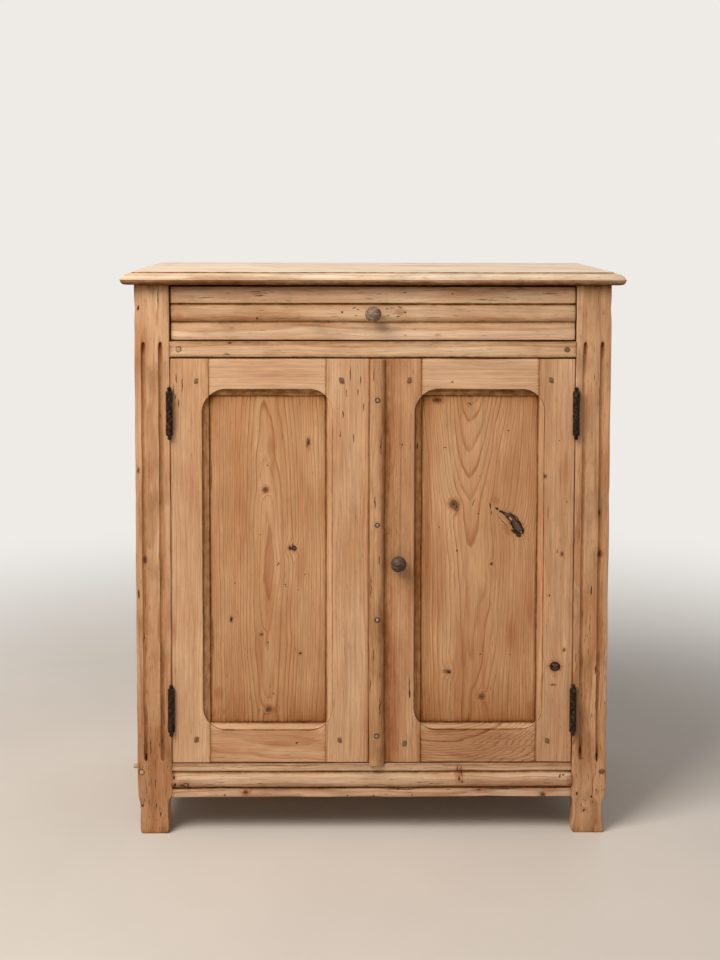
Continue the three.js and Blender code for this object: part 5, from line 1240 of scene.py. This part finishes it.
class CUPBOARD_OT_cover_strip(bpy.types.Operator):
    """Build the strip over the doors' meeting line, with its four nails"""

    bl_idname = "cupboard.cover_strip"
    bl_label = "Cover strip"

    def execute(self, context):
        low, high = extent("astragal_strip")
        left, right, proud = low[0], high[0], -9.3
        z = stations(low[2], high[2], 16)
        loop = [(left + 2.2, proud, 0.05), (left + 6, proud, 0), (left + 10, proud, 0),
                (right - 14, proud + 0.1, 0.05)]
        # Painted shade on the rounded side, which faces away from the light, growing towards its right edge.
        loop += [(right - 13 + 13 * math.sin(t), proud + 8.6 - 8.6 * math.cos(t), 0.08 + 0.36 * t / 1.57)
                 for t in QUARTER]
        loop += [(right, -0.3, 0.9), (right - 8, -0.3, 0), (left + 8, -0.3, 0), (left, -0.3, 0.7),
                 (left, proud + 2.4, 0.3), (left + 0.7, proud + 0.8, 0.15)]
        sections = np.broadcast_to(np.array(loop), (len(z), len(loop), 3)).copy()
        sections[..., 0] += wavering(z, 7, 30, 140, 3)[:, None] * 0.25 * (sections[..., 1] < -1)
        dents = [((22, -9, 700), (5, 6, 16), (-1.0, 1.0, 0)), ((22, -9, 455), (5, 6, 10), (-0.9, 0.9, 0)),
                 ((22, -9, 300), (5, 6, 22), (-1.0, 0.9, 0)), ((-5, -9, 560), (4, 4, 14), (0.6, 0.7, 0)),
                 ((20, -9, 140), (6, 6, 8), (-0.8, 1.2, 0))]
        cracks = [(15, 745, 1.0, 16), (2, 350, 0.9, 12), (14, 250, 1.0, 20), (4, 640, 0.8, 14),
                  (-3, 480, 0.8, 22), (12, 530, 0.9, 9), (1, 880, 0.8, 10), (-4, 290, 0.8, 16)]
        material = pine("cover_strip_pine_stripped_and_waxed", pale="D0A781", deep="BE9067", ring_width=4.0,
                        soot=0.4, fleck=0.9, redness=0.4,
                        marks=[(8.6, level, 5.3, 5.3) for level in NAILS] + cracks)
        piece("cover_strip", [carried(sections, z, "z", tip=1.0)], "right_door", material,
              ["astragal_strip"], heart=(-40, 60, 500), stretch=0.015, seed=101, wave=0.3, dents=dents)
        steel = mottled("nail_head_steel_rubbed", ("453F39", "97918A", "DAD6D0"), 2.4, 0.6, 0.4)
        for number, level in enumerate(NAILS):
            head = turned([(-9.0, 2.8, 0), (-9.7, 2.8, 0), (-10.05, 2.4, 0), (-10.25, 1.6, 0),
                           (-10.3, 0.7, 0)], (8.58, level), 20)
            piece(f"strip_nail_{number + 1}", [head], "right_door", steel, wave=0)
        return {"FINISHED"}


def iron():
    """Forged iron, oiled and rusted brown: dark, dull, with a few rubbed spots that catch the light."""
    return mottled("dark_iron_forged_and_oiled", ("0F0905", "20140D", "59412F"), 6.0, 0.0, 0.55, bump=0.5,
                   shine=0.12)


class CUPBOARD_OT_hinges(bpy.types.Operator):
    """Build the four barrel hinges with their finials"""

    bl_idname = "cupboard.hinges"
    bl_label = "Hinges"

    def execute(self, context):
        finial = 8.0
        for side, sign in SIDES.items():
            for level, middle in (("bottom", 241.5), ("top", 807.5)):
                for half, body, out in (("post_half", "cabinet", -1), ("door_half", f"{side}_door", 1)):
                    node = f"hinge_{side}_{level}_{half}"
                    low, high = extent(node)
                    base = (middle - low[2] if half == "post_half" else high[2] - middle) - finial
                    profile = [(0.35, 5.2), (0.9, 6.1), (2.0, 6.5), (base * 0.35, 6.35), (base * 0.62, 6.55)]
                    profile += [(base + rise, radius) for rise, radius in (
                        (-2, 6.5), (-0.6, 5.8), (0, 4.6), (0.5, 3.1), (1.4, 2.8), (2.2, 3.3), (3.4, 4.0),
                        (5, 4.1), (6.6, 3.2), (7.6, 1.6), (8, 0.4))]
                    axis = (sign * OPENING_HALF, -5.0)
                    barrel = turned([(middle + out * z, r, 0) for z, r in profile[::out]], axis, 32, "z")
                    z_ends = sorted((middle + out * 0.8, middle + out * (base - 1.5)))
                    x_ends = sorted((axis[0] - sign * out * 0.2, axis[0] - sign * out * 1.3))
                    leaf = board((x_ends[0], -5.0, z_ends[0]), (x_ends[1], 14.0, z_ends[1]), "z", arris=0.3,
                                 step=20, dirt=0)
                    piece(f"{node}_forged", [barrel, leaf], body, iron(), [node], wave=0.12,
                          seed=110)
        return {"FINISHED"}


def turned_knob(node):
    """A round knob on a short neck: the neck widens into a ball r = 15 · sin^(2/3) of the way along it."""
    low, high = extent(node)
    proud, tail = -low[1], high[1]
    neck = proud * 0.31
    rows = [(tail, 5.0, 0), (tail * 0.5, 5.0, 0), (0.2, 5.0, 0.4), (0.1, 8.6, 0.8), (-1.0, 8.6, 0.7),
            (-2.2, 8.0, 0.5), (-neck * 0.6, 7.4, 0.6), (-neck * 0.9, 7.6, 0.7)]
    for share in np.linspace(0.16, 1, 17):
        radius = 15.0 * math.sin(math.pi * (0.12 + 0.88 * share)) ** (2 / 3) if share < 1 else 0.5
        rows.append((-neck - (proud - neck) * (share - 0.16) / 0.84, max(radius, 0.5), 0.1))
    return turned(rows, middle_of(node))


def knob_wood():
    """Turned fruitwood, grey and dry where hands have worn the old finish away."""
    return mottled("worn_knob_wood_turned", ("423022", "7B604D", "B0937E"), 9.0, 0.0, 0.55, bump=0.5,
                   stretch=(1, 1, 0.45))


class CUPBOARD_OT_door_knob(bpy.types.Operator):
    """Build the door knob with the turn button behind it"""

    bl_idname = "cupboard.door_knob"
    bl_label = "Door knob and button"

    def execute(self, context):
        dark = mottled("worn_knob_wood_turned_dark", ("241812", "49372A", "705C4B"), 9.0, 0.0, 0.5, bump=0.5,
                       stretch=(1, 1, 0.45), shine=0.25)
        piece("door_knob_turned", [turned_knob("door_knob")], "latch", dark, ["door_knob"],
              wave=0.2, seed=121)
        worn_copy("turn_button", "latch_button", "latch", inside_pine(), grain="z",
                  heart=(80, 60, 480), seed=122, bevel=1.0)
        return {"FINISHED"}


class CUPBOARD_OT_bolt(bpy.types.Operator):
    """Build the slide bolt inside the left door"""

    bl_idname = "cupboard.bolt"
    bl_label = "Slide bolt"

    def execute(self, context):
        worn_copy("bolt_plate_forged", "bolt_plate", "left_door", iron(), bevel=0.3)
        worn_copy("bolt_rod_forged", "bolt_rod", "bolt", iron(), bevel=0.3)
        return {"FINISHED"}


class CUPBOARD_OT_drawer(bpy.types.Operator):
    """Build the moulded drawer front and the dovetailed box behind it"""

    bl_idname = "cupboard.drawer"
    bl_label = "Drawer"

    def execute(self, context):
        low, high = extent("drawer_front")
        face = [(0, high[2], 0.2), (0, 1036, 0), (0, 1026, 0), (0, 1016, 0.05), (0.2, 1014, 0.3),
                (1.8, 1013.4, 0.6), (3.9, 1012.4, 0.75), (3.9, 1010.9, 0.75), (1.8, 1009.9, 0.6),
                (0.2, 1009.3, 0.3), (0, 1006, 0.05), (0, 998, 0), (0, 990, 0)]
        face += [(5.0 - 5.0 * math.cos(t), 987.5 - 8.6 * math.sin(t), 0.1 + 0.5 * (t / 1.57) ** 3)
                 for t in QUARTER[1:]]
        face += [(5.3, 978.0, 0.75), (5.0, 976.8, 0.4), (5.0, 972, 0.1), (5.0, 962, 0), (5.0, 952, 0),
                 (5.0, low[2], 0.1)]
        x = stations(low[0], high[0], 20)
        outline = moulded(face, len(x), FRONT_THICK)
        outline[..., 2] += 0.5 * fading(to_ends(x, x[0], x[-1]), 2.5)[:, None]
        dents = [((-377, 2, 985), (6, 6, 6), (0.8, 1.2, 0)), ((377, 0, 1040), (8, 6, 4), (-0.7, 0.8, 0)),
                 ((120, 0, 981), (18, 5, 4), (0, 0.7, 0.4)), ((-80, 0, 980), (12, 5, 4), (0, 0.6, 0.4))]
        # The tone paints shade: darker on the rounded lower edge of the middle band, and on the top band
        # under the overhanging top.
        piece("drawer_front_moulded", [carried(outline, x, "x", tip=0.9)], "drawer",
              drawer_pine(), ["drawer_front"], grain="x", heart=(-100, 90, 1010), seed=131, wave=0.3,
              dents=dents, tone=((974, 1.02), (979, 0.85), (986, 0.86), (992, 1.0), (1010, 1.0), (1022, 0.95),
                                 (1044, 0.87)))
        for number, (node, grain) in enumerate((("drawer_side_left", "y"), ("drawer_side_right", "y"),
                                                ("drawer_back", "x"), ("drawer_bottom", "x"))):
            worn_copy(f"{node}_board", node, "drawer", inside_pine(), grain=grain,
                      heart=(40, 200, 900 + 30 * number), stretch=0.04, seed=135 + number, bevel=0.4)
        piece("drawer_knob_turned", [turned_knob("drawer_knob")], "drawer", knob_wood(),
              ["drawer_knob"], wave=0.25, seed=141)
        return {"FINISHED"}


class CUPBOARD_OT_pegs(bpy.types.Operator):
    """Build the pegs that hold the tenons"""

    bl_idname = "cupboard.pegs"
    bl_label = "Pegs"

    def execute(self, context):
        end = mottled("peg_end_grain_pine", ("4E3A27", "745A42", "967659"), 3.0, 0.0, 0.7, shine=0.2)
        pale = mottled("side_peg_split_pine", ("8E6E4C", "B8946A", "D2B48C"), 6.0, 0.0, 0.65,
                       stretch=(4, 1, 1))
        places = {"left": ((-330, 868), (-58, 868.7), (-333.8, 183), (-62, 182.4)),
                  "right": ((67.5, 869), (333.5, 869.5), (61.5, 175.5), (333, 180))}
        for side, spots in places.items():
            for number, (x, z) in enumerate(spots):
                peg = board((x - 5.0, -0.9, z - 6.2), (x + 5.0, 3, z + 6.2), "y", arris=2.2, step=3, dirt=0.6)
                lean = 1 if number % 2 else -1
                chipped = [((x + 5 * lean, 0, z + 6), (3.5, 9, 3.5), (-1.0 * lean, 0, -0.9)),
                           ((x - 5 * lean, 0, z - 6), (4, 9, 3), (0.8 * lean, 0, 1.3)),
                           ((x, -1, z + 1), (3, 3, 3), (0, 0.5, 0))]
                piece(f"{side}_door_peg_{number + 1}", [peg], f"{side}_door", end, wave=0.3,
                      seed=150 + 7 * number + len(side), dents=chipped)
        for side, wood in (("left", pale), ("right", end)):
            for node in (f"drawer_rail_peg_{side}", f"foot_peg_{side}"):
                rows = [(4.0, 4.2, 0.9), (0.4, 4.2, 0.9), (-0.3, 3.9, 0.4), (-0.6, 3.0, 0), (-0.65, 0.8, 0)]
                piece(f"{node}_stub", [turned(rows, middle_of(node), 24)], "cabinet", wood,
                      [node], wave=0.2, seed=160)
        low, high = extent("side_peg")
        x = stations(low[0], high[0], 6)
        radius = np.interp(x, [low[0], low[0] + 2, high[0]], [3.4, 4.1, 3.8])[:, None]
        angle = np.linspace(0, 2 * math.pi, 24, endpoint=False)[None, :]
        middle = (low + high) / 2
        section = np.stack([middle[1] + radius * np.cos(angle), middle[2] + radius * np.sin(angle)], -1)
        piece("side_peg_stub", [carried(with_grime_and_shade(section), x, "x", tip=0.8)], "cabinet",
              pale, ["side_peg"], wave=0.3, seed=161)
        return {"FINISHED"}


class CUPBOARD_PT_sidebar(bpy.types.Panel):
    """Lists the cupboard's pieces and finishes"""

    bl_label = "Jelly cupboard"
    bl_idname = "CUPBOARD_PT_sidebar"
    bl_space_type = "VIEW_3D"
    bl_region_type = "UI"
    bl_category = "Cupboard"

    def draw(self, context):
        for settings in (context.scene.cupboard_wood, context.scene.cupboard_studio):
            for key in settings.__annotations__:
                self.layout.prop(settings, key)
        for operator in OPERATORS:
            self.layout.operator(operator.bl_idname)


OPERATORS = (
    CUPBOARD_OT_stage, CUPBOARD_OT_top, CUPBOARD_OT_posts, CUPBOARD_OT_base_rail, CUPBOARD_OT_drawer_rail,
    CUPBOARD_OT_side_frames, CUPBOARD_OT_back, CUPBOARD_OT_inside, CUPBOARD_OT_doors, CUPBOARD_OT_cover_strip,
    CUPBOARD_OT_hinges, CUPBOARD_OT_door_knob, CUPBOARD_OT_bolt, CUPBOARD_OT_drawer, CUPBOARD_OT_pegs,
)
CLASSES = (CupboardWood, CupboardStudio, *OPERATORS, CUPBOARD_PT_sidebar)


def register():
    for made in CLASSES:
        bpy.utils.register_class(made)
    bpy.types.Scene.cupboard_wood = bpy.props.PointerProperty(type=CupboardWood)
    bpy.types.Scene.cupboard_studio = bpy.props.PointerProperty(type=CupboardStudio)


def unregister():
    del bpy.types.Scene.cupboard_studio
    del bpy.types.Scene.cupboard_wood
    for made in reversed(CLASSES):
        bpy.utils.unregister_class(made)


def main():
    register()
    for operator in OPERATORS:
        group, name = operator.bl_idname.split(".")
        getattr(getattr(bpy.ops, group), name)()


if __name__ == "__main__":
    main()
